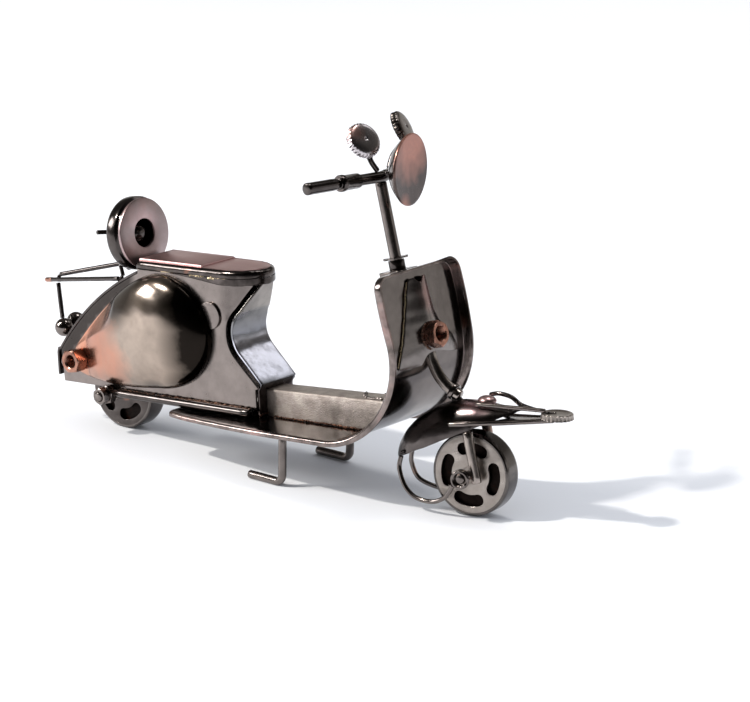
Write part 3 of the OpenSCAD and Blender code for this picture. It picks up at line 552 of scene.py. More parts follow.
def piece(name, part, place, body, mat, swap=None, slot=PLATED, flat=35, thick=None, offset=-1.0, bevel=None,
        sub=0, mirror=False, face=None, also=None):
    """One visible piece. It rides on body and stands for the CAD node swap; slot is not used. face is the
    local direction an open sheet's outer side looks along; also is (first face, material) for the part
    of the mesh that wears a second finish."""
    verts, faces = part
    m = place @ MIRROR if mirror else place
    me = bpy.data.meshes.new(name)
    me.from_pydata([m @ (V(v) * MM) for v in verts], [], faces)
    me.materials.append(mat)
    if also:
        me.materials.append(also[1])
        for poly in me.polygons[also[0]:]:
            poly.material_index = 1
    bm = bmesh.new()
    bm.from_mesh(me)
    bmesh.ops.remove_doubles(bm, verts=bm.verts, dist=1e-6)
    bmesh.ops.recalc_face_normals(bm, faces=bm.faces)
    if face:
        out = m.to_3x3() @ V(face)
        if sum(f.normal.dot(out) * f.calc_area() for f in bm.faces) < 0:
            bmesh.ops.reverse_faces(bm, faces=bm.faces)
    bm.to_mesh(me)
    bm.free()
    ob = bpy.data.objects.new(name, me)
    bpy.context.collection.objects.link(ob)
    if thick:
        s = ob.modifiers.new("sheet", "SOLIDIFY")
        s.thickness = thick * MM
        s.offset = offset
        s.use_even_offset = True
    if bevel:
        b = ob.modifiers.new("edges", "BEVEL")
        b.width = bevel * MM
        b.segments = 3
        b.limit_method = "ANGLE"
        b.angle_limit = rad(32)
    if sub:
        s = ob.modifiers.new("smooth", "SUBSURF")
        s.levels = s.render_levels = sub
    me.shade_smooth()
    if flat:
        me.set_sharp_from_angle(angle=rad(flat))
    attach(ob, body)
    if swap:
        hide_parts(swap)


def on_frame(name, part, mat, swap=None, slot=PLATED, **more):
    piece(name, part, BODY, FRAME, mat, swap, slot, **more)


def on_steering(name, part, mat, swap=None, slot=PLATED, **more):
    piece(name, part, STEER, STEERING, mat, swap, slot, **more)


def cut_plate(outer, holes, thick, bevel=0.12, z=0.0):
    """Flat plate cut to closed outlines of (x, y), with rounded edges, centred on z."""
    cu = bpy.data.curves.new("outline", "CURVE")
    cu.dimensions = "2D"
    cu.fill_mode = "BOTH"
    cu.extrude = (thick / 2 - bevel) * MM
    cu.bevel_depth = bevel * MM
    cu.bevel_resolution = 2
    cu.offset = -bevel * MM
    for pts in [outer] + list(holes):
        s = cu.splines.new("POLY")
        s.points.add(len(pts) - 1)
        for q, (x, y) in zip(s.points, pts):
            q.co = (x * MM, y * MM, 0, 1)
        s.use_cyclic_u = True
    tmp = bpy.data.objects.new("outline", cu)
    bpy.context.collection.objects.link(tmp)
    bpy.context.view_layer.update()
    src = tmp.evaluated_get(bpy.context.evaluated_depsgraph_get()).to_mesh()
    part = ([v.co * 1000 + V((0, 0, z)) for v in src.vertices], [list(p.vertices) for p in src.polygons])
    bpy.data.objects.remove(tmp)
    bpy.data.curves.remove(cu)
    return part


def spread(n):
    """n + 1 even steps from -1 to 1."""
    return [mix(-1, 1, j / n) for j in range(n + 1)]


# ---------- body: plates, strips, cowls ----------
PLATE_Y, PLATE_T, SHEET = 9.1, 0.9, 0.8
SEAT_V, FLOOR_V, KNEE_V, FOOT_U = 42.3, -1.1, 8.6, 62.3
TURN_V, TURN_IN, FOLD_U = 28.5, 6.3, 49.0
TAIL, CROWN, BOW = V((-21.5, 13)), V((15, 41.6)), 3.0
chord = CROWN - TAIL
BACK_R = (chord.length ** 2 / 4 + BOW * BOW) / (2 * BOW)
BACK_N = V((-chord.y, chord.x)).normalized()
BACK_C = (TAIL + CROWN) / 2 - BACK_N * (BACK_R - BOW)


def back_curve(d, n=40):
    """The bowed back from tail to crown, d mm outside it."""
    a0, a1 = [degrees(atan2(p.y - BACK_C.y, p.x - BACK_C.x)) for p in (TAIL, CROWN)]
    return arc(BACK_C, BACK_R + d, a0, a1, n)


def turned(v):
    """How far the front edge is folded inwards at height v."""
    return 0.0 if v < TURN_V else TURN_IN * ((v - TURN_V) / (SEAT_V - TURN_V)) ** 1.25


def waist(d, n=28):
    """The hollow front edge of the plates from seat to knee, d mm in front of it."""
    r, c, a = 11 - d, (62.5, 25.0), 44
    top, low = arc(c, r, 90 + a, 90 + a, 1)[0], arc(c, r, 270 - a, 270 - a, 1)[0]
    kv = KNEE_V + (1.3 if d > 0 else 0)
    pts = [(top[0] + (mix(top[1], SEAT_V, k / 8) - top[1]) * 0.68, mix(top[1], SEAT_V, k / 8))
        for k in range(8, 0, -1)]
    pts += arc(c, r, 90 + a, 270 - a, n)
    end = (low[0] + (low[1] - kv) / tan(rad(a)) - d * 0.3, kv)
    return pts + [(mix(low[0], end[0], k / 6), mix(low[1], end[1], k / 6)) for k in range(1, 7)]


def along(points, v):
    """u of a line of (u, v) points at height v."""
    for (u0, v0), (u1, v1) in zip(points, points[1:]):
        if min(v0, v1) <= v <= max(v0, v1) and v0 != v1:
            return mix(u0, u1, (v - v0) / (v1 - v0))
    return points[0][0] if abs(points[0][1] - v) < abs(points[-1][1] - v) else points[-1][0]


back_line = [(-20.4, 1.9), (-20.9, 11.8)] + back_curve(-SHEET - 0.05) + [(15.2, SEAT_V)]
edge_line = waist(0) + [(FOOT_U, KNEE_V - 0.6), (FOOT_U, 1.9)]
levels = sorted({round(mix(1.9, SEAT_V, i / 52), 3) for i in range(53)} | {8.0, 8.6, 12.4})
for hand, left in BOTH:
    rows = []
    for v in levels:
        u0, u1 = along(back_line, v), along(edge_line, v)
        row = []
        for j in range(61):
            u = mix(u0, u1, j / 60)
            k = clamp((u - FOLD_U) / max(u1 - FOLD_U, 1))
            wave = 0.10 * ripple(u * 0.12, v * 0.12, 3 if left else 9)
            row.append((u, -PLATE_Y + turned(v) * k * k + 0.10 + wave * (1 if v < TURN_V else 0.4), v))
        rows.append(row)
    on_frame("side_plate_skin_" + hand, grid(rows), M_PLATE, "side_plate_" + hand, SATIN, thick=PLATE_T - 0.1,
        bevel=0.16, mirror=left, face=(0, -1, 0))

shin = [(FOOT_U + 0.5, KNEE_V - 0.9)] + [(FOOT_U + 0.45, v) for v in (6, 3, FLOOR_V + 0.2)]
strip = []
for u, v in [q for q in waist(1.6, 36) if q[1] < 41.2] + shin:
    w = PLATE_Y - PLATE_T - 0.1 - turned(v) * 1.04
    strip.append([(u + 0.12 * ripple(y * w * 0.3, v * 0.3, 0), y * w, v) for y in spread(16)])
on_frame("front_strip_skin", grid(strip), M_STRIP, "front_strip", SATIN, thick=SHEET, offset=0, bevel=0.18)

flap = [(-22.5, 3.8), (-22.5, 6), (-22.5, 9), (-22.45, 11.3), (-22.1, 12.6)] + back_curve(-SHEET / 2, 44)
on_frame("rear_strip_skin", grid([[(u, y * PLATE_Y, v) for y in spread(12)] for u, v in flap]), M_INK,
    "rear_strip", thick=SHEET, offset=0, bevel=0.16)

# the cowl is widest at D_U0: a long tail behind it and a quarter ellipse in front, D_H mm deep
D_U0, D_TOP, D_LOW, D_NOSE, D_TAIL, D_H = 24, 41.6, 4.6, 21.4, 38.5, 8.6
D_SPLIT, D_FLAT, D_FLAT_TO = 0.6, 0.7, 0.09
D_MID, D_HALF = (D_TOP + D_LOW) / 2, (D_TOP - D_LOW) / 2


def dome_at(k):
    """u, middle height, half height and bulge of the cowl at k along it."""
    if k < D_SPLIT:
        t = 1 - k / D_SPLIT
        up = D_TOP - (D_TOP - 13.4) * t ** 1.55
        lo = D_LOW - 1.2 * sin(rad(min(90, 180 * t))) + 3.1 * t ** 5
        swell = clamp((k - D_FLAT_TO) / (D_SPLIT - D_FLAT_TO))
        return D_U0 - D_TAIL * t, (up + lo) / 2, (up - lo) / 2, mix(D_FLAT, D_H, sin(rad(90 * swell)) ** 0.8)
    a = rad((k - D_SPLIT) / (1 - D_SPLIT) * 90)
    return D_U0 + D_NOSE * sin(a), D_MID, D_HALF * cos(a), max(0.0, D_H * cos(a) ** 0.9)


for hand, left in BOTH:
    rows = []
    for i in range(97):
        u, mid, half, rise = dome_at((i / 96) ** 0.92 * 0.9995)
        crease = 14.1 + (u + 14.8) * 0.44
        fade = smooth((9 - u) / 8)
        row = []
        for j in range(65):
            a = pi * j / 64
            v = mid + half * cos(a)
            h = rise * sin(a) ** 0.8
            if v > crease and half > 0.2 and fade > 0:
                at_crease = rise * sin(acos(clamp((crease - mid) / half, -1, 1))) ** 0.8
                pinch = at_crease * (1 - (v - crease) / max(mid + half - crease, 0.1)) ** 1.25
                h = mix(h, min(h, pinch), fade)
            h += 0.10 * ripple(u * 0.15, v * 0.15, 20 if left else 0)
            row.append((u, -PLATE_Y - 0.02 - max(0.12, h), v))
        rows.append(row)
    on_frame("cowl_skin_" + hand, grid(rows), M_DOME[hand], "cowl_dome_" + hand, thick=0.55, flat=40,
        mirror=left, face=(0, -1, 0))

TAB_C, TAB_R, TAB_GAP = V((45.4, 30.2)), 4.3, 0.3


def beyond_nose(q):
    return ((q.x - D_U0) / (D_NOSE + TAB_GAP)) ** 2 + ((q.y - D_MID) / D_HALF) ** 2 > 1


tab_round = [TAB_C + V(polar(1, rad(a))) * TAB_R for a in range(-150, 151, 4)]
tab_nose = [V((D_U0 + (D_NOSE + TAB_GAP) * cos(rad(a / 2)), D_MID + D_HALF * sin(rad(a / 2))))
    for a in range(120, -60, -4)]
tab_outer = [q for q in tab_round if beyond_nose(q)] + [q for q in tab_nose if (q - TAB_C).length < TAB_R]
tab = cut_plate([(q.x - TAB_C.x, q.y - TAB_C.y) for q in tab_outer], [], 0.7, 0.14)
tab = ([V((x + TAB_C.x, -PLATE_Y - 0.37 + z, y + TAB_C.y)) for x, y, z in tab[0]], tab[1])
on_frame("cowl_tab_skin", both_sides(tab), M_PLATE, "cowl_tabs", SATIN)

# ---------- seat ----------
S_HALF, S_REAR, S_WIDE, S_NOSE = 9.7, 14.2, 50.0, 63.0


def seat_ring(d, v):
    """The seat's outline, d mm inside it, at height v."""
    n, y = 40, S_HALF - d
    sides = (S_REAR + 2 + d, mix(S_REAR, S_WIDE, 0.35), mix(S_REAR, S_WIDE, 0.7))
    pts = [(u, -S_HALF + d) for u in sides]
    pts += [(S_WIDE + (S_NOSE - S_WIDE - d) * cos(rad(mix(-90, 90, i / n))),
        y * sin(rad(mix(-90, 90, i / n)))) for i in range(n + 1)]
    pts += [(u, y) for u in reversed(sides)]
    pts += [(S_REAR + 0.6 + d, S_HALF - 0.6 - d), (S_REAR + d, S_HALF - 2 - d), (S_REAR + d, 0),
        (S_REAR + d, -S_HALF + 2 + d), (S_REAR + 0.6 + d, -S_HALF + 0.6 + d)]
    return [(u, y, v + 0.2 * ripple(u * 0.6, y * 0.6, v)) for u, y in pts]


def lip_ring(d, drop):
    """Ring of the seat's edge whose front half hangs lower, over the plates' top edges."""
    return [(u, y, v - drop * smooth((u - 36) / 8)) for u, y, v in seat_ring(d, 42.4)]


lip = [(0.55, 1.4), (0.5, 1.9), (0.3, 2.15), (0.08, 2.0), (-0.02, 1.5), (0.0, 0.6), (0.02, 0)]
on_frame("seat_lip", grid([lip_ring(*q) for q in lip], closed=True), M_SKIRT, flat=0, sub=1)
skirt = [(0.9, 42.45), (0.35, 42.4), (0.05, 42.6), (0.0, 43.1), (0.05, 43.9), (0.3, 44.45), (0.75, 44.8),
    (1.3, 44.95)]
on_frame("seat_skirt", grid([seat_ring(*q) for q in skirt], closed=True), M_SKIRT, "seat", flat=0, sub=1)
cap = capped([seat_ring(1.28, 44.90), seat_ring(1.7, 45.0), seat_ring(2.2, 45.02)])
on_frame("seat_top", cap, M_SEAT, None, TINTED, flat=30)
STEP_U0, STEP_U1, STEP_Y = 15.6, 41.9, 8.0
pad = []
for d, v in ((0.0, 44.85), (0.0, 45.25), (0.22, 45.55), (0.6, 45.68)):
    u0, u1, y = STEP_U0 + d, STEP_U1 - d, STEP_Y - d
    pad.append([(mix(u0, u1, i / 12), -STEP_Y + d, v) for i in range(12)]
        + [(u1, mix(-STEP_Y + d, y, i / 8), v) for i in range(8)]
        + [(mix(u1, u0, i / 12), y, v) for i in range(12)]
        + [(u0, mix(y, -STEP_Y + d, i / 8), v) for i in range(8)])
on_frame("pillion_step", capped(pad), M_SEAT, None, TINTED, flat=30)

# ---------- spare wheel ----------
SPARE = at(BODY, (11.2, 0, 52.0)) @ Matrix.Rotation(rad(85), 4, "Y")
cup = [(0, -6.6), (9.8, -6.6), (10.6, -6.5), (11.3, -6.1), (11.7, -5.5), (11.8, -4.9), (11.8, -2.5),
    (11.65, -2.1), (11.2, -1.8), (10.95, -1.62), (10.9, -1.4), (10.6, -1.26), (9.6, -1.26), (9.5, -1.5),
    (9.5, -4.8), (9.2, -4.9), (0, -4.9)]
piece("spare_cup", lathe(cup, 128), SPARE, FRAME, M_INK, "spare_wheel_cup")
washer = lathe(ring_profile(4.55, 11.2, -1.2, 0, 0.34), 128)
piece("spare_washer", washer, SPARE, FRAME, M_WASHER, "spare_wheel_washer", TINTED)
stud = [(0, -1.02), (0.9, -1.1), (1.8, -1.42), (2.7, -2.0), (3.4, -2.8), (3.85, -3.7), (4.05, -4.82),
    (0, -4.82)]
wire = [(0, 0, -6.7), (0, 0, -7.3), (-0.2, -0.7, -8.1), (-0.8, -3.4, -9.4), (-1.5, -7, -10.8),
    (-1.9, -9.8, -11.6)]
piece("spare_stud", joined(lathe(stud, 64), tube(spline(wire, 6), 0.72)), SPARE, FRAME, M_INK,
    "spare_wheel_stud")

# ---------- rack, tail balls, nuts ----------
for name, shape, mat, swap, slot in (
        ("rack_right", ((-36, 1.5, 32.1), (5.4, -7.3, 37.9), 0.75, 0.2, 12, 0.06), M_INK, "rack_rod_right",
         PLATED),
        ("rack_tip", ((-36.1, 1.55, 32.1), (-32.6, 0.8, 32.58), 0.8, 0.25, 6, 0.06), M_COPPER, None, TINTED),
        ("rack_left", ((-28.4, 0.4, 34.8), (2.6, 6.2, 41.2), 0.75, 0.2, 12, 0.06), M_INK, "rack_rod_left",
         PLATED),
        ("rack_post", ((-29.2, 0, 32.0), (-27.8, -0.6, 20.4), 0.75, 0.2, 8, 0.06), M_INK, "rack_leg", PLATED),
        ("rack_stay", ((5.8, -5.6, 38.6), (3.9, -4.6, 41.9), 0.65, 0.2), M_INK, "rack_strut", PLATED)):
    on_frame(name, rod(*shape), mat, swap, slot)
ball = [(3.05 * sin(rad(a)), 3.05 * cos(rad(a))) for a in range(0, 181, 6)]
for hand, p in (("right", (-24.8, -3.1, 18.1)), ("left", (-25.4, 3.1, 18.9))):
    piece("tail_ball_" + hand + "_round", lathe(ball, 48), at(BODY, p), FRAME, M_GUN, "tail_ball_" + hand,
        flat=0)
signal_at = shift(-12.3, -PLATE_Y - D_FLAT - 0.05, 10.1) @ AXLEWISE @ Matrix.Rotation(rad(8), 4, "Z")
on_frame("signal_nut_pair", both_sides(moved(hex_nut(7, 4.4, 2.1), signal_at)), M_COPPER, "signal_nuts",
    TINTED, flat=25)

# ---------- under-frame and rear axle ----------
for hand, left in BOTH:
    y = 10.5 if left else -10.5
    under = rod((3.4, y, 0.8), (60.8, y, 0.8), 1.25, 0.35, 16, 0.03)
    on_frame("under_rod_" + hand, under, M_INK, "frame_rod_" + hand)
    piece("axle_collar_" + hand, lathe(ring_profile(1.45, 1.85, 7.2, 9.15, 0.1), 48),
        BODY @ Matrix.Rotation(rad(-90 if left else 90), 4, "X"), FRAME, M_PLATE, "axle_boss_" + hand, SATIN)
on_frame("rear_axle_rod", rod((0, -15, 0), (0, 15, 0), 1.45, 0.25), M_GUN, "rear_axle")
inner, outer, coils = [], [], []
for side in (90, -90):
    m = Matrix.Rotation(rad(side), 4, "X")
    inner.append(moved(hex_nut(5.6, 2.6, 1.45), m @ shift(0, 0, 9.2) @ Matrix.Rotation(rad(12), 4, "Z")))
    outer.append(moved(hex_nut(4.9, 2.6, 1.45), m @ shift(0, 0, 11.9) @ Matrix.Rotation(rad(30), 4, "Z")))
    coils.append(moved(helix(2.9, 2.05, 1.06, 0.52, 4.5), m))
on_frame("axle_nut_inner", joined(*inner), M_PLATE, "rear_axle_nuts", SATIN, flat=25)
on_frame("axle_nut_outer", joined(*outer), M_GUN, flat=25)
on_frame("axle_coil_pair", joined(*coils), M_GUN, "rear_axle_coils")

# ---------- footboard and leg shield ----------
F_TAIL, F_R, F_LEAN, S_TOP = 30.6, 25.5, 12.0, 50.0
BEND_C = (97.6, FLOOR_V + F_R)
S_FROM = polar(F_R, rad(F_LEAN), BEND_C)
S_LEN = (S_TOP - S_FROM[1]) / cos(rad(F_LEAN))
FLOOR_LEN, BEND_LEN = BEND_C[0] - F_TAIL, F_R * rad(90 + F_LEAN)
BEND_END = FLOOR_LEN + BEND_LEN
TOTAL = BEND_END + S_LEN
CORNER, TAIL_CORNER, INSET = 4.0, 3.0, 0.9


def sheet_at(s):
    """(u, v, angle of the outer normal, half width, edge depth) at s mm from the tail."""
    if s < FLOOR_LEN:
        k = s / FLOOR_LEN
        return (F_TAIL + s, FLOOR_V + 0.5 * max(0, 1 - s / 12) ** 2, -90,
            mix(16.4, 20.4, sin(rad(90 * min(1, k * 1.4)))), mix(1.4, 1.7, k))
    if s < BEND_END:
        k = (s - FLOOR_LEN) / BEND_LEN
        a = -90 + (90 + F_LEAN) * k
        return (*polar(F_R, rad(a), BEND_C), a, mix(20.4, 17.9, smooth(min(1, k * 1.15))), mix(1.7, 2.9, k))
    q = s - FLOOR_LEN - BEND_LEN
    return (S_FROM[0] - q * sin(rad(F_LEAN)), S_FROM[1] + q * cos(rad(F_LEAN)), F_LEAN,
        17.9 + 0.5 * sin(pi * clamp(q / S_LEN)), 2.9)


def inner_half(s, side):
    """Half width of the flat of the sheet, inside its rolled edge; the far edge of the shield flares."""
    w = sheet_at(s)[3] + (0.9 * smooth((s - FLOOR_LEN - 12) / 25) if side > 0 else 0)
    for r, corner in ((s, TAIL_CORNER), (TOTAL - s, CORNER)):
        if r < corner:
            w -= corner - sqrt(max(0.0, (corner - INSET) ** 2 - (corner - r) ** 2)) - INSET
    return w - INSET


def on_sheet(s, y, n):
    """Point s mm along the sheet and y mm across it, n mm off its outer side."""
    u, v, a = sheet_at(clamp(s, 0, TOTAL))[:3]
    return V((u + n * cos(rad(a)), y, v + n * sin(rad(a))))


stations = [INSET + (TAIL_CORNER - INSET) * (1 - cos(rad(a))) for a in (0, 18, 36, 54, 72)]
stations += [mix(3.2, FLOOR_LEN, i / 18) for i in range(19)]
stations += [FLOOR_LEN + BEND_LEN * i / 30 for i in range(1, 31)]
stations += [mix(BEND_END, TOTAL - CORNER, i / 10) for i in range(1, 11)]
stations += [TOTAL - CORNER + (CORNER - INSET) * sin(rad(a)) for a in (12, 24, 36, 48, 60, 72, 82, 90)]
# the slot for the steering rod, from and to along the sheet, and its half width
SLOT = (FLOOR_LEN + BEND_LEN * 0.90, BEND_END + 15.6, 4.9)
# columns across the sheet as parts of its half width, with the slot's sides and middle in mm between
OUTER_COLS, MIDDLE = [1, 0.93, 0.83, 0.72, 0.6, 0.48], [-SLOT[2], -1.5, 0, 1.5, SLOT[2]]


def row_of(s):
    across = [-c * inner_half(s, -1) for c in OUTER_COLS] + MIDDLE
    across += [c * inner_half(s, 1) for c in reversed(OUTER_COLS)]
    return [on_sheet(s, y, 0) for y in across]


def is_solid(i, j):
    return not (6 <= j < 10 and SLOT[0] <= stations[i] and stations[i + 1] <= SLOT[1])


rows = [row_of(s) for s in stations]
flat_part = grid(rows, is_solid)
# once round the sheet: (station, y) on its edge
edge = [(s, row[0].y) for s, row in zip(stations, rows)] + [(stations[-1], q.y) for q in rows[-1][1:-1]]
edge += [(s, row[-1].y) for s, row in reversed(list(zip(stations, rows)))]
edge += [(stations[0], q.y) for q in reversed(rows[0][1:-1])]


def edge_out(i):
    """Outward direction of the edge in the sheet's own (s, y) plane."""
    (s0, y0), (s1, y1), (s, y) = edge[i - 1], edge[(i + 1) % len(edge)], edge[i]
    d = V((s1 - s0, y1 - y0, 0)).normalized()
    out = V((-d.y, d.x, 0))
    return out if out.dot(V((0.04 * (s - TOTAL / 2), y, 0))) > 0 else -out


flange = []
for phi, extra in ((0, 0), (22, 0), (45, 0), (68, 0), (90, 0), (90, 0.5), (90, 1.0)):
    ring = []
    for i, (s, y) in enumerate(edge):
        out = edge_out(i)
        far = smooth((y - 8) / 8) * smooth((s - FLOOR_LEN - 10) / 20)
        ang = rad(sheet_at(clamp(s, 0, TOTAL))[2])
        nrm = V((cos(ang), 0, sin(ang)))
        away = V((-sin(ang), 0, cos(ang))) * out.x + V((0, out.y, 0))
        depth = sheet_at(s)[4] - INSET + 0.9 * far
        ring.append(on_sheet(s, y, 0) + away * (INSET * sin(rad(phi)) + 0.5 * far * extra)
            + nrm * (INSET * (1 - cos(rad(phi))) + depth * extra))
    flange.append(ring)
on_frame("floor_shield_skin", joined(flat_part, grid(flange, closed=True)), M_FLOOR, "floor_and_shield",
    thick=0.7, bevel=0.14, flat=40, face=(-1, 0, 1), also=(len(flat_part[1]), M_EDGE))

# ---------- tunnel box ----------
HALF_T, T_REAR_V, T_ROUND = 4.5, 7.6, 0.55
start_u = FOOT_U + SHEET + 0.05
end_u, end_v = polar(F_R - 0.1, rad(-36.5), BEND_C)
box_rows = []
for i in range(41):
    u = mix(start_u, end_u - 0.05, i / 40)
    low = FLOOR_V + 0.1 if u < BEND_C[0] else BEND_C[1] - sqrt(max(0,
                                                                   (F_R - 0.1) ** 2 - (u - BEND_C[0]) ** 2))
    top = mix(T_REAR_V, end_v, (u - start_u) / (end_u - start_u))
    low = min(low, top - 0.05)
    wob = 0.16 * ripple(u * 0.25, 0, 4)
    half = [(-HALF_T, low), (-HALF_T + wob * 0.4, mix(low, top, 0.5)), (-HALF_T, top - T_ROUND),
        (-HALF_T + 0.16, top - 0.16), (-HALF_T + T_ROUND, top + wob * 0.2), (-1.5, top + wob * 0.5)]
    box_rows.append([(u, y, v) for y, v in half] + [(u, -y, v) for y, v in reversed(half)])
rear_end = ([V(p) for p in box_rows[0]], [list(range(12))])
on_frame("tunnel_skin", joined(grid(box_rows), rear_end), M_SAND, "tunnel_box", "sand_steel", flat=50)

# ---------- steering head ----------
sleeve = lathe(ring_profile(1.85, 2.5, -1.2, 1.8, 0.18), 64)
piece("bushing_sleeve", sleeve, COLUMN, FRAME, M_INK, "steering_bushing")
bracket = [(-4.2, -4.0), (-3.6, -4.6), (3.8, -4.6), (4.4, -4.0), (4.4, 4.0), (3.8, 4.6), (-3.6, 4.6),
    (-4.2, 4.0)]
piece("bracket_plate", cut_plate(bracket, [circle(2.15, 48)], 1.5, 0.22, -1.95), COLUMN, FRAME, M_GUN,
    "steering_bracket")


# ---------- horn cover ----------
def s_of(v):
    """Length along the sheet at height v on the shield."""
    return BEND_END + (v - S_FROM[1]) / cos(rad(F_LEAN))


# s along the sheet, right edge, left edge, ridge y and ridge height
COVER = [(s_of(47.2), -3.0, 4.8, 1.0, 1.2), (s_of(42), -5.4, 5.0, 0.8, 1.7), (s_of(37), -7.6, 5.5, 0.4, 2.1),
    (s_of(33.4), -9.3, 6.8, 0.2, 2.3), (s_of(30.2), -10.8, 9.8, 0, 2.3),
    (s_of(30.2) - 2.8, -12.4, 12.2, 0, 2.3),
    (s_of(30.2) - 5.4, -13.6, 13.5, 0, 2.2), (s_of(30.2) - 8.0, -14.4, 14.2, 0, 2.0)]


def cover_at(s):
    for a, b in zip(COVER, COVER[1:]):
        if s >= b[0] or b is COVER[-1]:
            k = (a[0] - s) / (a[0] - b[0])
            return [mix(x, y, smooth(k) * 0.5 + clamp(k) * 0.5) for x, y in zip(a[1:], b[1:])]


def across_cover(f, lo, mid, hi):
    """Value between the right edge (f = -1), the ridge (0) and the left edge (1)."""
    return mix(mid, lo, -f) if f < 0 else mix(mid, hi, f)


def cover_low(y):
    """How far the lower edge is cut up from COVER's end at y, clear of the steering rod."""
    if y <= -4.6:
        return 0
    lift = 2.6 * sqrt(max(0.0, 1 - (y / 4.6) ** 2)) if y < 0 else 2.6 - 2.3 * smooth(y / 14.2)
    return lift + (0.6 if y > -3 else 0.6 * smooth((y + 4.6) / 1.6))


cover = []
for i in range(37):
    row = []
    for f in spread(40):
        y_top = across_cover(f, COVER[0][1], COVER[0][3], COVER[0][2])
        s0 = COVER[0][0] - max(0.0, 2.0 - abs(y_top - 1.0) * 1.05) - 0.5 * abs(f) ** 6
        s = mix(s0, COVER[-1][0] + cover_low(across_cover(f, -14.4, 0, 14.2)), i / 36)
        lo, hi, ridge_y, ridge = cover_at(s)
        shape = 1 - sqrt(f * f + 0.003) * 0.9985
        belly = 0.35 * sin(pi * clamp(f)) if f > 0 else -0.12 * sin(pi * clamp(-f))
        row.append(on_sheet(s, across_cover(f, lo, ridge_y, hi), SHEET + 0.16 + ridge * shape + belly))
    cover.append(row)
on_frame("horn_cover_skin", grid(cover), M_SHIELD, "horn_cover", SATIN, thick=0.6, offset=1, bevel=0.12,
    flat=40, face=(1, 0, 0))
NUT = s_of(29.8)
nut_at = turned_to(BODY, on_sheet(NUT, 0, 2.6), 0, F_LEAN)
piece("horn_nut_hex", hex_nut(7.2, 4.6, 2.3), nut_at, FRAME, M_COPPER, "horn_nut", TINTED, flat=25)

# ---------- stands ----------
STAND_R, STAND_BEND = 1.3, 2.4
for hand, left in BOTH:
    lo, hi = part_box("stand_" + hand)
    x, z = hi.x * 1000 - STAND_R, lo.z * 1000
    y = (lo.y + hi.y) * 500
    path = [V((x, y, h)) for h in (hi.z * 1000 - 0.1, 12, 8, 5)]
    path += [V((x - STAND_BEND + STAND_BEND * cos(rad(-a)), y,
        z + STAND_R + STAND_BEND + STAND_BEND * sin(rad(-a)))) for a in range(0, 91, 10)]
    path += [V((mix(x - STAND_BEND, lo.x * 1000, k), y, z + STAND_R)) for k in (0.25, 0.5, 0.75, 1)]
    piece("stand_rod_" + hand, tube(path, STAND_R, 24), Matrix.Identity(4), FRAME, M_GUN, "stand_" + hand)

# ---------- wheels ----------
WR, HW = 12.75, 3.5


def kidney(centre_deg, r=8.1, w=3.6, span=46, n=14):
    """Outline of a bent slot, w wide, at radius r."""
    a0, a1 = centre_deg - span / 2, centre_deg + span / 2
    outer = arc((0, 0), r + w / 2, a0, a1, n) + arc(polar(r, rad(a1)), w / 2, a1, a1 + 180, 10)[1:-1]
    inner = arc((0, 0), r - w / 2, a1, a0, n)
    return outer + inner + arc(polar(r, rad(a0)), w / 2, a0 + 180, a0 + 360, 10)[1:-1]


def both_ends(half):
    """A lathe profile from its lower half."""
    return half + [(r, -h) for r, h in reversed(half)]


def wheel(tag, place, body, turn, mat):
    windows = [kidney(90 * i + turn) for i in range(4)]
    disc = cut_plate(circle(WR - 0.9, 128), [circle(2.5, 48)] + windows, 0.85, 0.14)
    faces = [([v + V((0, 0, s * (HW - 0.45))) for v in disc[0]], disc[1]) for s in (-1, 1)]
    hub = lathe(both_ends([(1.5, -HW), (2.3, -HW), (2.55, -HW + 0.2), (2.6, -HW + 0.8)]) + [(1.5, -HW)], 64)
    piece(tag + "_discs", joined(*faces, hub), place, body, mat, tag + "_wheel", SATIN, flat=30)
    core = lathe(both_ends([(2.62, -1.9), (WR - 1.2, -1.9), (WR - 1.1, -2.5), (WR - 1.02, -2.6)]), 96)
    piece(tag + "_core", core, place, body, M_SHADE_AND_RUST, None, SATIN, flat=30)
    low = [(WR - 1.0, -HW), (WR - 0.6, -HW), (WR - 0.2, -HW + 0.25), (WR - 0.02, -HW + 0.8), (WR, -HW + 1.2)]
    rim = lathe(both_ends(low) + [(WR - 1.0, HW - 0.5), (WR - 1.0, -HW + 0.5), (WR - 1.0, -HW)], 160)
    piece(tag + "_rim", rim, place, body, M_RIM, None, SATIN, flat=30)


# the rear wheel's faces wear the dark black nickel and the front wheel's the pale face: painted shade on the
# rear wheel, under the body
wheel("rear", REAR_WHEEL, "rear_wheel_body", 23, M_INK)
wheel("front", FRONT_WHEEL, "front_wheel_body", -17, M_WHEEL)

# ---------- steering rod, washer, collar ----------
STEM_END, STEM_BEFORE = V((12.6, 0, -41.6)), V((9.6, 0, -38.8))
STEM = spline([(0, 0, -6), (0.1, 0, -10), (1.2, 0, -14.5), (3.2, 0, -20), (5.0, 0, -26), (5.5, 0, -30),
    (6.9, 0, -34.8), STEM_BEFORE, STEM_END], 6)
STRAIGHT = [V((0, 0, h)) for h in (25.4, 24, 20, 14, 8, 4, 0, -3)]
ROD_SIDES = 28
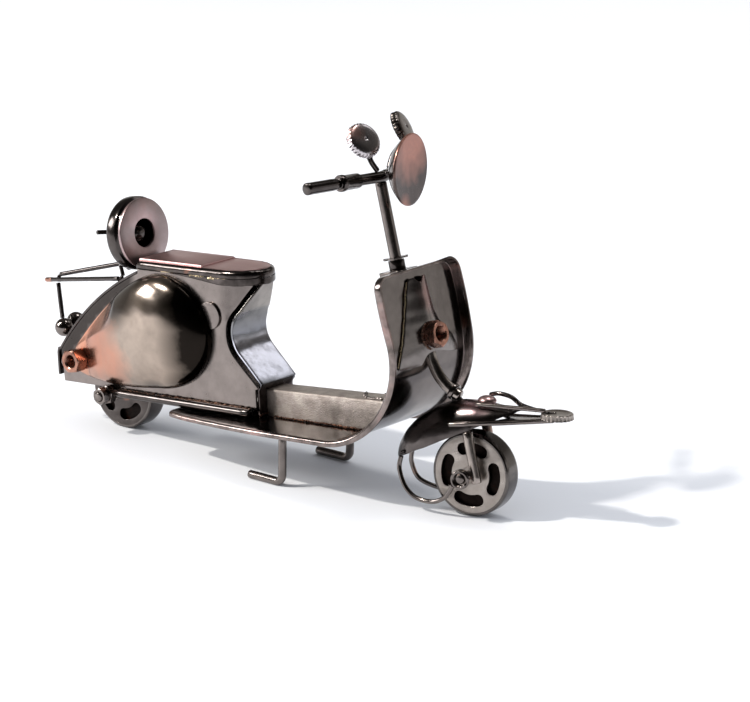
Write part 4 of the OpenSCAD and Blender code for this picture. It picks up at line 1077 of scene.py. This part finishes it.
# the bent part below the shield wears brighter plating than the straight one, which ends three rings after
# its points: painted light on the bent part, painted shade on the straight one
on_steering("steering_rod_skin", tube(STRAIGHT + STEM, 1.79, ROD_SIDES), M_GUN, "steering_rod",
    also=((len(STRAIGHT) + 3) * ROD_SIDES, M_ROD))
tooth = ((-22, 3.1), (-10, 3.15), (-9, 4.05), (9, 4.05), (10, 3.15), (22, 3.1))
teeth = [polar(r, rad(60 * i + a)) for i in range(6) for a, r in tooth]
on_steering("toothed_washer", cut_plate(teeth, [circle(1.82, 40)], 0.5, 0.1, 2.35), M_PLATE,
    "push_on_washer", SATIN)
stem_dir = (STEM_END - STEM_BEFORE).normalized()
collar_at = turned_to(STEER, STEM_END - stem_dir * 3.4, 0, degrees(asin(stem_dir.z)))
piece("stem_ring", lathe(ring_profile(1.8, 2.6, 0, 1.6, 0.4), 56), collar_at, STEERING, M_GUN, "stem_collar")

# ---------- fender and crest ----------
# rear tip, crown and front tip along f, and greatest half width
FEND_REAR, FEND_CROWN, FEND_FRONT, FEND_WIDE = -12.2, 12.0, 33.0, 7.6


def fender_spine(f):
    if f < FEND_CROWN:
        c = clamp((FEND_CROWN - f) / (FEND_CROWN - FEND_REAR + 0.02), -1, 1)
        return -57.3 + 14.9 * sin(acos(c)) ** 1.25
    return -42.4 - 6.6 * ((f - FEND_CROWN) / (FEND_FRONT - FEND_CROWN)) ** 1.6


def fender_width(f):
    if f < 6:
        return FEND_WIDE * sin(acos(clamp((6 - f) / (6.1 - FEND_REAR), -1, 1))) ** 1.15
    return FEND_WIDE * max(0.0, 1 - ((f - 6) / (FEND_FRONT - 5.5)) ** 2) ** 0.7


rows = []
for i in range(73):
    f = mix(-12.1, 32.8, 0.5 - 0.5 * cos(pi * i / 72))
    w, low = max(0.5, fender_width(f)), -57.3 + 0.214 * (f - FEND_REAR)
    rise = max(0.8, fender_spine(f) - low)
    rows.append([(f, w * cos(pi * j / 32), low + rise * sin(pi * j / 32)
        + 0.12 * ripple(f * 0.3, j * 0.3, 1)) for j in range(33)])
on_steering("fender_skin", grid(rows), M_FENDER, "fender", thick=0.7, bevel=0.1, flat=45, face=(0, 0, 1))

rails = [tube(spline([(11.5, 8.1 * s, -48.4), (17, 7.6 * s, -49), (23, 6.4 * s, -49.7), (28, 4.9 * s, -50.4),
    (43, 1.9 * s, -52)]), 0.74, 16, 0.25, 0.08) for s in (-1, 1)]
half = [(23, -4.4), (32, -3.4), (41, -2.3), (43.4, -1.7), (44, -0.9)]
crest = cut_plate(half + [(f, -y) for f, y in reversed(half)] + [(27, 0)], [], 0.6)
tilt = shift(23, 0, -49.7) @ Matrix.Rotation(rad(6.4), 4, "Y") @ shift(-23, 0, 0)
on_steering("crest_rails", joined(moved(crest, tilt), *rails), M_GUN, "crest_plate")
on_steering("crest_near_rod", rod((19.8, -4.4, -43.9), (41, -2.25, -48.7), 0.65, 0.2, 12, 0.08), M_PLATE,
    "crest_rod_right")
far_path = [(20.9, 3, -42.6), (24, 3, -42.6), (28, 2.8, -44.1), (31, 2.5, -46.8), (36, 2, -48.9)]
on_steering("crest_far_rod", tube(spline(far_path), 0.7, 16, 0.25), M_INK, "crest_rod_left")
LEANING = Matrix.Rotation(rad(14), 4, "Y")
button = [(0, 2.1)] + [(2.9 * sin(rad(a)), 0.3 + 1.8 * cos(rad(a))) for a in range(8, 90, 7)]
piece("fender_stud", lathe(button + [(2.8, 0.2), (0, 0.2)], 48), at(STEER, (21.4, -0.4, -44.25)) @ LEANING,
    STEERING, M_SEAT, "fender_button", SATIN)


def fluted(r, teeth, skirt, profile, depth):
    """Crown-cap shape: a top of (radius, z, share of the fluting) on a fluted skirt, skirt mm deep."""
    around = turns(teeth * 6)
    edge = [(r, -skirt * 0.5, 0.8), (r + 0.15, -skirt, 1.0), (r - 0.25, -skirt, 1.0),
        (r - 0.35, -skirt * 0.4, 0.8)]
    v, f = grid([[(*polar(rr + wave * depth * cos(teeth * a), a), z) for a in around]
        for rr, z, wave in profile + edge], closed=True)
    v.append(V((0, 0, profile[0][1])))
    return v, f + [[i, (i + 1) % len(around), len(v) - 1] for i in range(len(around))]


COIN_TOP = [(0.6, 0.55, 0), (2.6, 0.58, 0), (3.5, 0.66, 0), (4.0, 0.85, 0), (4.45, 0.86, 0.2),
    (4.75, 0.6, 0.7)]
coin = fluted(4.75, 22, 0.9, COIN_TOP, 0.16)
piece("crest_cap", coin, at(STEER, (43.4, 0, -50.9)) @ LEANING, STEERING, M_WHEEL, "crest_disc", SATIN,
    flat=40)

# ---------- fork, front axle and loops ----------
for hand, left in BOTH:
    y = 6.2 if left else -6.2
    leg = rod((AXLE_F + 3.3, y, -51.45), (AXLE_F + 3.2, y, AXLE_H - 2.4), 1.55, 0.4, 8, 0.03)
    on_steering("fork_" + hand, leg, M_ROD, "fork_leg_" + hand)
on_steering("front_axle_rod", rod((AXLE_F, -10.6, AXLE_H), (AXLE_F, 10.6, AXLE_H), 1.45), M_GUN, "front_axle")
coils = [moved(helix(1.9, 2.35, 1.2, 0.6, 8.8), shift(AXLE_F, 0, AXLE_H) @ Matrix.Rotation(rad(side), 4, "X"))
    for side in (90, -90)]
on_steering("front_coils", joined(*coils), M_GUN, "front_axle_coils")
for hand, left in BOTH:
    b = 1.4 if left else 0
    loop = spline([(-8.4 - b, -5.3 + 0.7 * b, -56.4), (-9.6 - b, -5.8 + b, -60), (-8.6 - b, -6.4 + b, -65.4),
        (-5.4, -7, -69.2), (0, -7.6, -71), (4.6, -8.2, -70.3), (7.4, -8.6, -68.4),
        (AXLE_F - 3.6, -8.9, AXLE_H - 1.6)])
    on_steering("loop_" + hand, tube(loop, 0.72, 16, 0.2, 0.05), M_GUN, "wire_loop_" + hand, mirror=left)


# ---------- handlebar, mirrors, headlamp ----------
def bar(k, s=-1):
    """Point of the swept handlebar, k = 0 at its middle and 1 at the end of a grip."""
    return V((1.4 - 8.5 * abs(k) ** 1.15, s * 31 * k, 27 + 1.8 * k))


bar_path = [bar(k / 20, 1) for k in range(12, 0, -1)] + [bar(k / 20) for k in range(0, 13)]
on_steering("bar_rod", tube(bar_path, 1.69, 24, 0.2, 0.03), M_INK, "handlebar")
GRIP_RADII = [1.7, 1.78] + [1.82] * 7 + [1.85, 1.85]
for hand, left in BOTH:
    grip = tube([bar(0.62).lerp(bar(1.0), k / 10) for k in range(11)], GRIP_RADII, 28, 0.35)
    on_steering("grip_rod_" + hand, grip, M_INK, "grip_" + hand, mirror=left)
    run = bar(0.59) - bar(0.35)
    end = run.length
    sleeve = lathe([(1.72, 0), (2.0, 0), (2.2, 0.12), (2.3, 0.5), (2.36, end - 1.9), (2.5, end - 1.7),
        (2.56, end - 1.3), (2.56, end - 0.3), (2.42, end), (1.75, end), (1.72, end - 0.1), (1.72, 0)], 40)
    m = Matrix.Translation(bar(0.35) * MM) @ run.to_track_quat("Z", "Y").to_matrix().to_4x4()
    on_steering("sleeve_" + hand, moved(sleeve, m), M_SKIRT, "grip_sleeve_" + hand, mirror=left)

MIRROR_TOP = [(0.35, 1.18, 0), (0.5, 1.32, 0), (0.9, 1.36, 0), (2.4, 1.34, 0), (3.9, 1.28, 0), (4.7, 1.1, 0),
    (5.1, 0.85, 0.15), (5.35, 0.45, 0.6)]
# the near mirror wears the pale plating and the far one gunmetal: painted reflection on the near one, painted
# shade on the far one
for hand, p, az, el, mat in (("right", (2.7, -9.5, 39.0), -19.7, 20.5, M_MIRROR),
        ("left", (5.8, 9.4, 39.8), 11, 15.9, M_GUN)):
    piece("mirror_cap_" + hand, fluted(5.35, 30, 1.0, MIRROR_TOP, 0.17), turned_to(STEER, p, az, el),
        STEERING, mat, "mirror_" + hand, flat=40)
stalks = []
for a, b in (((1.45, -3.0, 29.1), (1.8, -6.9, 34.4)), ((2.0, 3.1, 29.1), (4.4, 7.6, 34.8))):
    middle = V(a).lerp(V(b), 0.5) + V((-0.5, 0, 0.3))
    stalks.append(tube(spline([a, middle, b]), 0.85, 16, 0.25, 0.06))
on_steering("mirror_wires", joined(*stalks), M_INK, "mirror_stalks")

LAMP = turned_to(STEER, (11.2, 0, 27.6), 2, -12.8)
LAMP_R, LAMP_DEPTH, LAMP_BACK = 10.9, 5.2, -0.86
lens = [(0, -0.32)] + [(r, -0.32 + 0.30 * (r / 10) ** 2) for r in (2, 4, 6, 8, 9.4)]
lens += [(10.2, -0.04), (10.6, 0.0), (LAMP_R - 0.08, -0.12), (LAMP_R, -0.4), (LAMP_R - 0.1, -0.72),
    (LAMP_R - 0.4, -0.8), (0, -0.8)]
piece("lamp_face", lathe(lens, 128), LAMP, STEERING, M_LAMP, "headlamp_disc", TINTED, flat=45)
BOWL_R = (LAMP_R * LAMP_R + LAMP_DEPTH * LAMP_DEPTH) / (2 * LAMP_DEPTH)
bowl = [(LAMP_R - 0.5, LAMP_BACK)]
for z in [LAMP_DEPTH * i / 14 for i in range(1, 14)]:
    r = sqrt(max(0, BOWL_R * BOWL_R - (z + BOWL_R - LAMP_DEPTH) ** 2)) - 0.35 * (1 - z / LAMP_DEPTH)
    bowl.append((max(0, r), LAMP_BACK - z))
bowl.append((0, LAMP_BACK - LAMP_DEPTH + 0.02))
piece("lamp_bowl", lathe(bowl, 96), LAMP, STEERING, M_GUN, "headlamp_shell", flat=45)


# ---------- welds ----------
def welds(name, mat, runs, place=BODY, body=FRAME):
    """One piece of weld beads; each run is (path, bead radius), with gap and jitter where they differ."""
    piece(name, joined(*[weld(*run) for run in runs]), place, body, mat, flat=0)


SIDES = (-1, 1)
welds("seat_welds", M_BRASS, [
    ([(38, -9.2, 42.3), (44, -9.25, 42.35)], 0.42), ([(46, -9.3, 42.25), (52.5, -8.6, 42.2)], 0.55),
    ([(38, 9.2, 42.3), (50, 9.2, 42.3)], 0.45), ([(26, -9.25, 42.4), (29, -9.3, 42.5)], 0.4)])
runs = [([(5, s * 9.6, 1.9), (24, s * 9.55, 1.9)], 0.34, 1.6, 0.5) for s in SIDES]
runs += [([(24, s * 9.5, 1.95), (60, s * 9.5, 1.9)], 0.42, 0.9, 0.5) for s in SIDES]
runs += [([(66, s * 4.75, -0.7), (104, s * 4.75, -0.6)], 0.32, 1.2, 0.45) for s in SIDES]
runs += [([(63, -8, 0.0), (63.2, 8, 0.0)], 0.4, 1.0, 0.4),
    ([(-18.5, -6, 17.2), (-19.8, 6, 16.0)], 0.5, 1.2, 0.5)]
welds("frame_welds", M_BROWN, runs)
welds("body_welds", M_INK, [
    ([(5.2, -7.0, 37.4), (6.2, -6.6, 38.3)], 0.6), ([(2.4, 6.0, 40.9), (3.0, 5.6, 40.4)], 0.6),
    ([(-28.9, 0, 33.0), (-28.9, 0.3, 34.2)], 0.7), ([(-24.0, -1.0, 19.9), (-25.2, 1.2, 20.8)], 0.7),
    ([(-22.9, -2.2, 16.9), (-23.2, 2.4, 17.6)], 0.8), ([(7.0, -4.5, 41.0), (7.5, 4.5, 41.0)], 0.7),
    ([(2.6, -9.6, 0.9), (2.9, -9.6, 0.4)], 0.8), ([(2.6, 9.6, 0.9), (2.9, 9.6, 0.4)], 0.8)])
welds("tunnel_welds", M_PLATE, [
    ([(108, -3.2, 9.2), (104, -3.4, 9.0), (101, -2.2, 8.9), (99, 0, 8.85), (97.5, 2.6, 8.8)], 0.5),
    ([(114.5, -4.2, 9.6), (115.8, 0, 9.6), (114.5, 4.2, 9.6)], 0.55),
    ([(109, 1.5, 9.2), (104.5, 3.0, 9.0)], 0.42)])
head_run = [(3.9, -4.0, -2.3), (4.4, -1.5, -1.8), (4.4, 2.0, -1.8), (3.9, 4.2, -2.3)]
welds("head_welds", M_GUN, [(head_run, 0.45)], COLUMN)
seam_steps = [mix(COVER[0][0] - 1, COVER[-1][0] + 1, k / 12) for k in range(13)]
seam = [on_sheet(s, cover_at(s)[0] - 0.15, SHEET + 0.2) for s in seam_steps]
welds("cover_seam", M_BRASS, [(seam, 0.24, 0.75, 0.3)])
nut_ring = [on_sheet(NUT + 4.0 * cos(rad(a)), 4.0 * sin(rad(a)), 3.1) for a in range(0, 361, 30)]
welds("nut_weld", M_BROWN, [(nut_ring, 0.5)])
runs = [([(AXLE_F + 1.9, s * 6.4, -50.0), (AXLE_F + 4.6, s * 6.4, -50.3)], 0.55) for s in SIDES]
runs += [([(-8.3 - b, s * (5.2 - b), -55.6), (-7.6 - b, s * (5.2 - b), -55.0)], 0.55) for s,
    b in ((-1, 0), (1, 1.6))]
runs += [([(11.0, -1.6, -42.0), (12.8, 0, -42.6), (11.0, 1.6, -42.0)], 0.6),
    ([(19.6, -3.6, -44.0), (20.4, 2.6, -43.0)], 0.45), ([(40.5, -2.0, -49.6), (42.5, 0.5, -50.3)], 0.5),
    ([(1.2, -1.8, 28.3), (1.2, 1.9, 28.3)], 0.6),
    ([(2.6, -0.8, 27.8), (4.6, 0.4, 27.6), (6.0, 0.6, 27.2)], 0.8)]
welds("steering_welds", M_INK, runs, STEER, STEERING)

# ---------- floor, light and world ----------
bm = bmesh.new()
bmesh.ops.create_grid(bm, x_segments=1, y_segments=1, size=6)
me = bpy.data.meshes.new("studio_floor")
bm.to_mesh(me)
bm.free()
floor = bpy.data.objects.new("studio_floor", me)
bpy.context.collection.objects.link(floor)


def floor_look(t, bsdf):
    coord = t.nodes.new("ShaderNodeTexCoord").outputs["Object"]
    pale = ramp(t, noise_of(t, coord, 3, 2), [(0.3, (0.80, 0.80, 0.81)), (0.7, (0.84, 0.84, 0.84))])
    t.links.new(pale, bsdf.inputs["Base Color"])
    bsdf.inputs["Roughness"].default_value = 0.55


me.materials.append(material("studio_floor", floor_look))


def area(name, location, aim, size, power):
    data = bpy.data.lights.new(name, "AREA")
    data.shape = "RECTANGLE"
    data.size, data.size_y = size
    data.energy = power
    ob = bpy.data.objects.new(name, data)
    ob.location = location
    ob.rotation_euler = (V(aim) - V(location)).to_track_quat("-Z", "Y").to_euler()
    ob.visible_camera = False
    bpy.context.collection.objects.link(ob)


sun = bpy.data.lights.new("sun", "SUN")
sun.energy = 2.4
sun.angle = rad(3)
sun.color = (1.0, 0.97, 0.93)
sun_ob = bpy.data.objects.new("sun", sun)
sun_ob.rotation_euler = V((-0.66, -0.75, 1.05)).to_track_quat("Z", "Y").to_euler()
bpy.context.collection.objects.link(sun_ob)
area("window_softbox", (-0.70, -0.52, 0.40), (0, 0, 0.05), (0.32, 0.27), 5.6)
area("side_softbox", (0.78, 0.50, 0.22), (0.05, 0, 0.05), (0.55, 0.25), 0.22)
area("rear_window", (0.16, 0.78, 0.74), (-0.01, 0, 0.03), (0.34, 0.26), 0.38)
area("top_softbox", (0.05, 0.25, 0.85), (0, 0, 0.03), (0.30, 0.25), 1.8)

world = bpy.data.worlds.new("studio")
bpy.context.scene.world = world
world.use_nodes = True
wt = world.node_tree
wt.nodes.clear()
w_out = wt.nodes.new("ShaderNodeOutputWorld")
w_bg = wt.nodes.new("ShaderNodeBackground")
wt.links.new(w_bg.outputs[0], w_out.inputs[0])
sep = wt.nodes.new("ShaderNodeSeparateXYZ")
wt.links.new(wt.nodes.new("ShaderNodeTexCoord").outputs["Generated"], sep.inputs[0])
# what the metal sees: a pale wall behind, dim towards the viewer, a dark ceiling
facing = mathed(wt, "ADD", mathed(wt, "MULTIPLY", sep.outputs["X"], -0.55),
    mathed(wt, "MULTIPLY", sep.outputs["Y"], 0.62))
shade = ramp(wt, mapped(wt, facing, -0.8, 0.8), [
    (0.0, (0.05, 0.048, 0.047)), (0.42, (0.16, 0.155, 0.15)), (0.52, (0.55, 0.53, 0.50)),
    (0.8, (0.85, 0.83, 0.80)), (1.0, (0.95, 0.93, 0.90))])
high = ramp(wt, mapped(wt, sep.outputs["Z"], 0.0, 1.0), [
    (0.0, (0.85, 0.85, 0.85)), (0.22, (0.7, 0.69, 0.68)), (0.34, (0.22, 0.21, 0.20)),
    (0.62, (0.10, 0.096, 0.092)), (1.0, (0.22, 0.22, 0.22))])
path = wt.nodes.new("ShaderNodeLightPath")
soft = mixed(wt, path.outputs["Is Diffuse Ray"], mixed(wt, 1.0, shade, high, "MULTIPLY"), (0.62, 0.66, 0.74))
wt.links.new(mixed(wt, path.outputs["Is Camera Ray"], soft, (0.93, 0.925, 0.915)), w_bg.inputs["Color"])
w_bg.inputs["Strength"].default_value = 1.0
bpy.context.scene.view_settings.view_transform = "Standard"
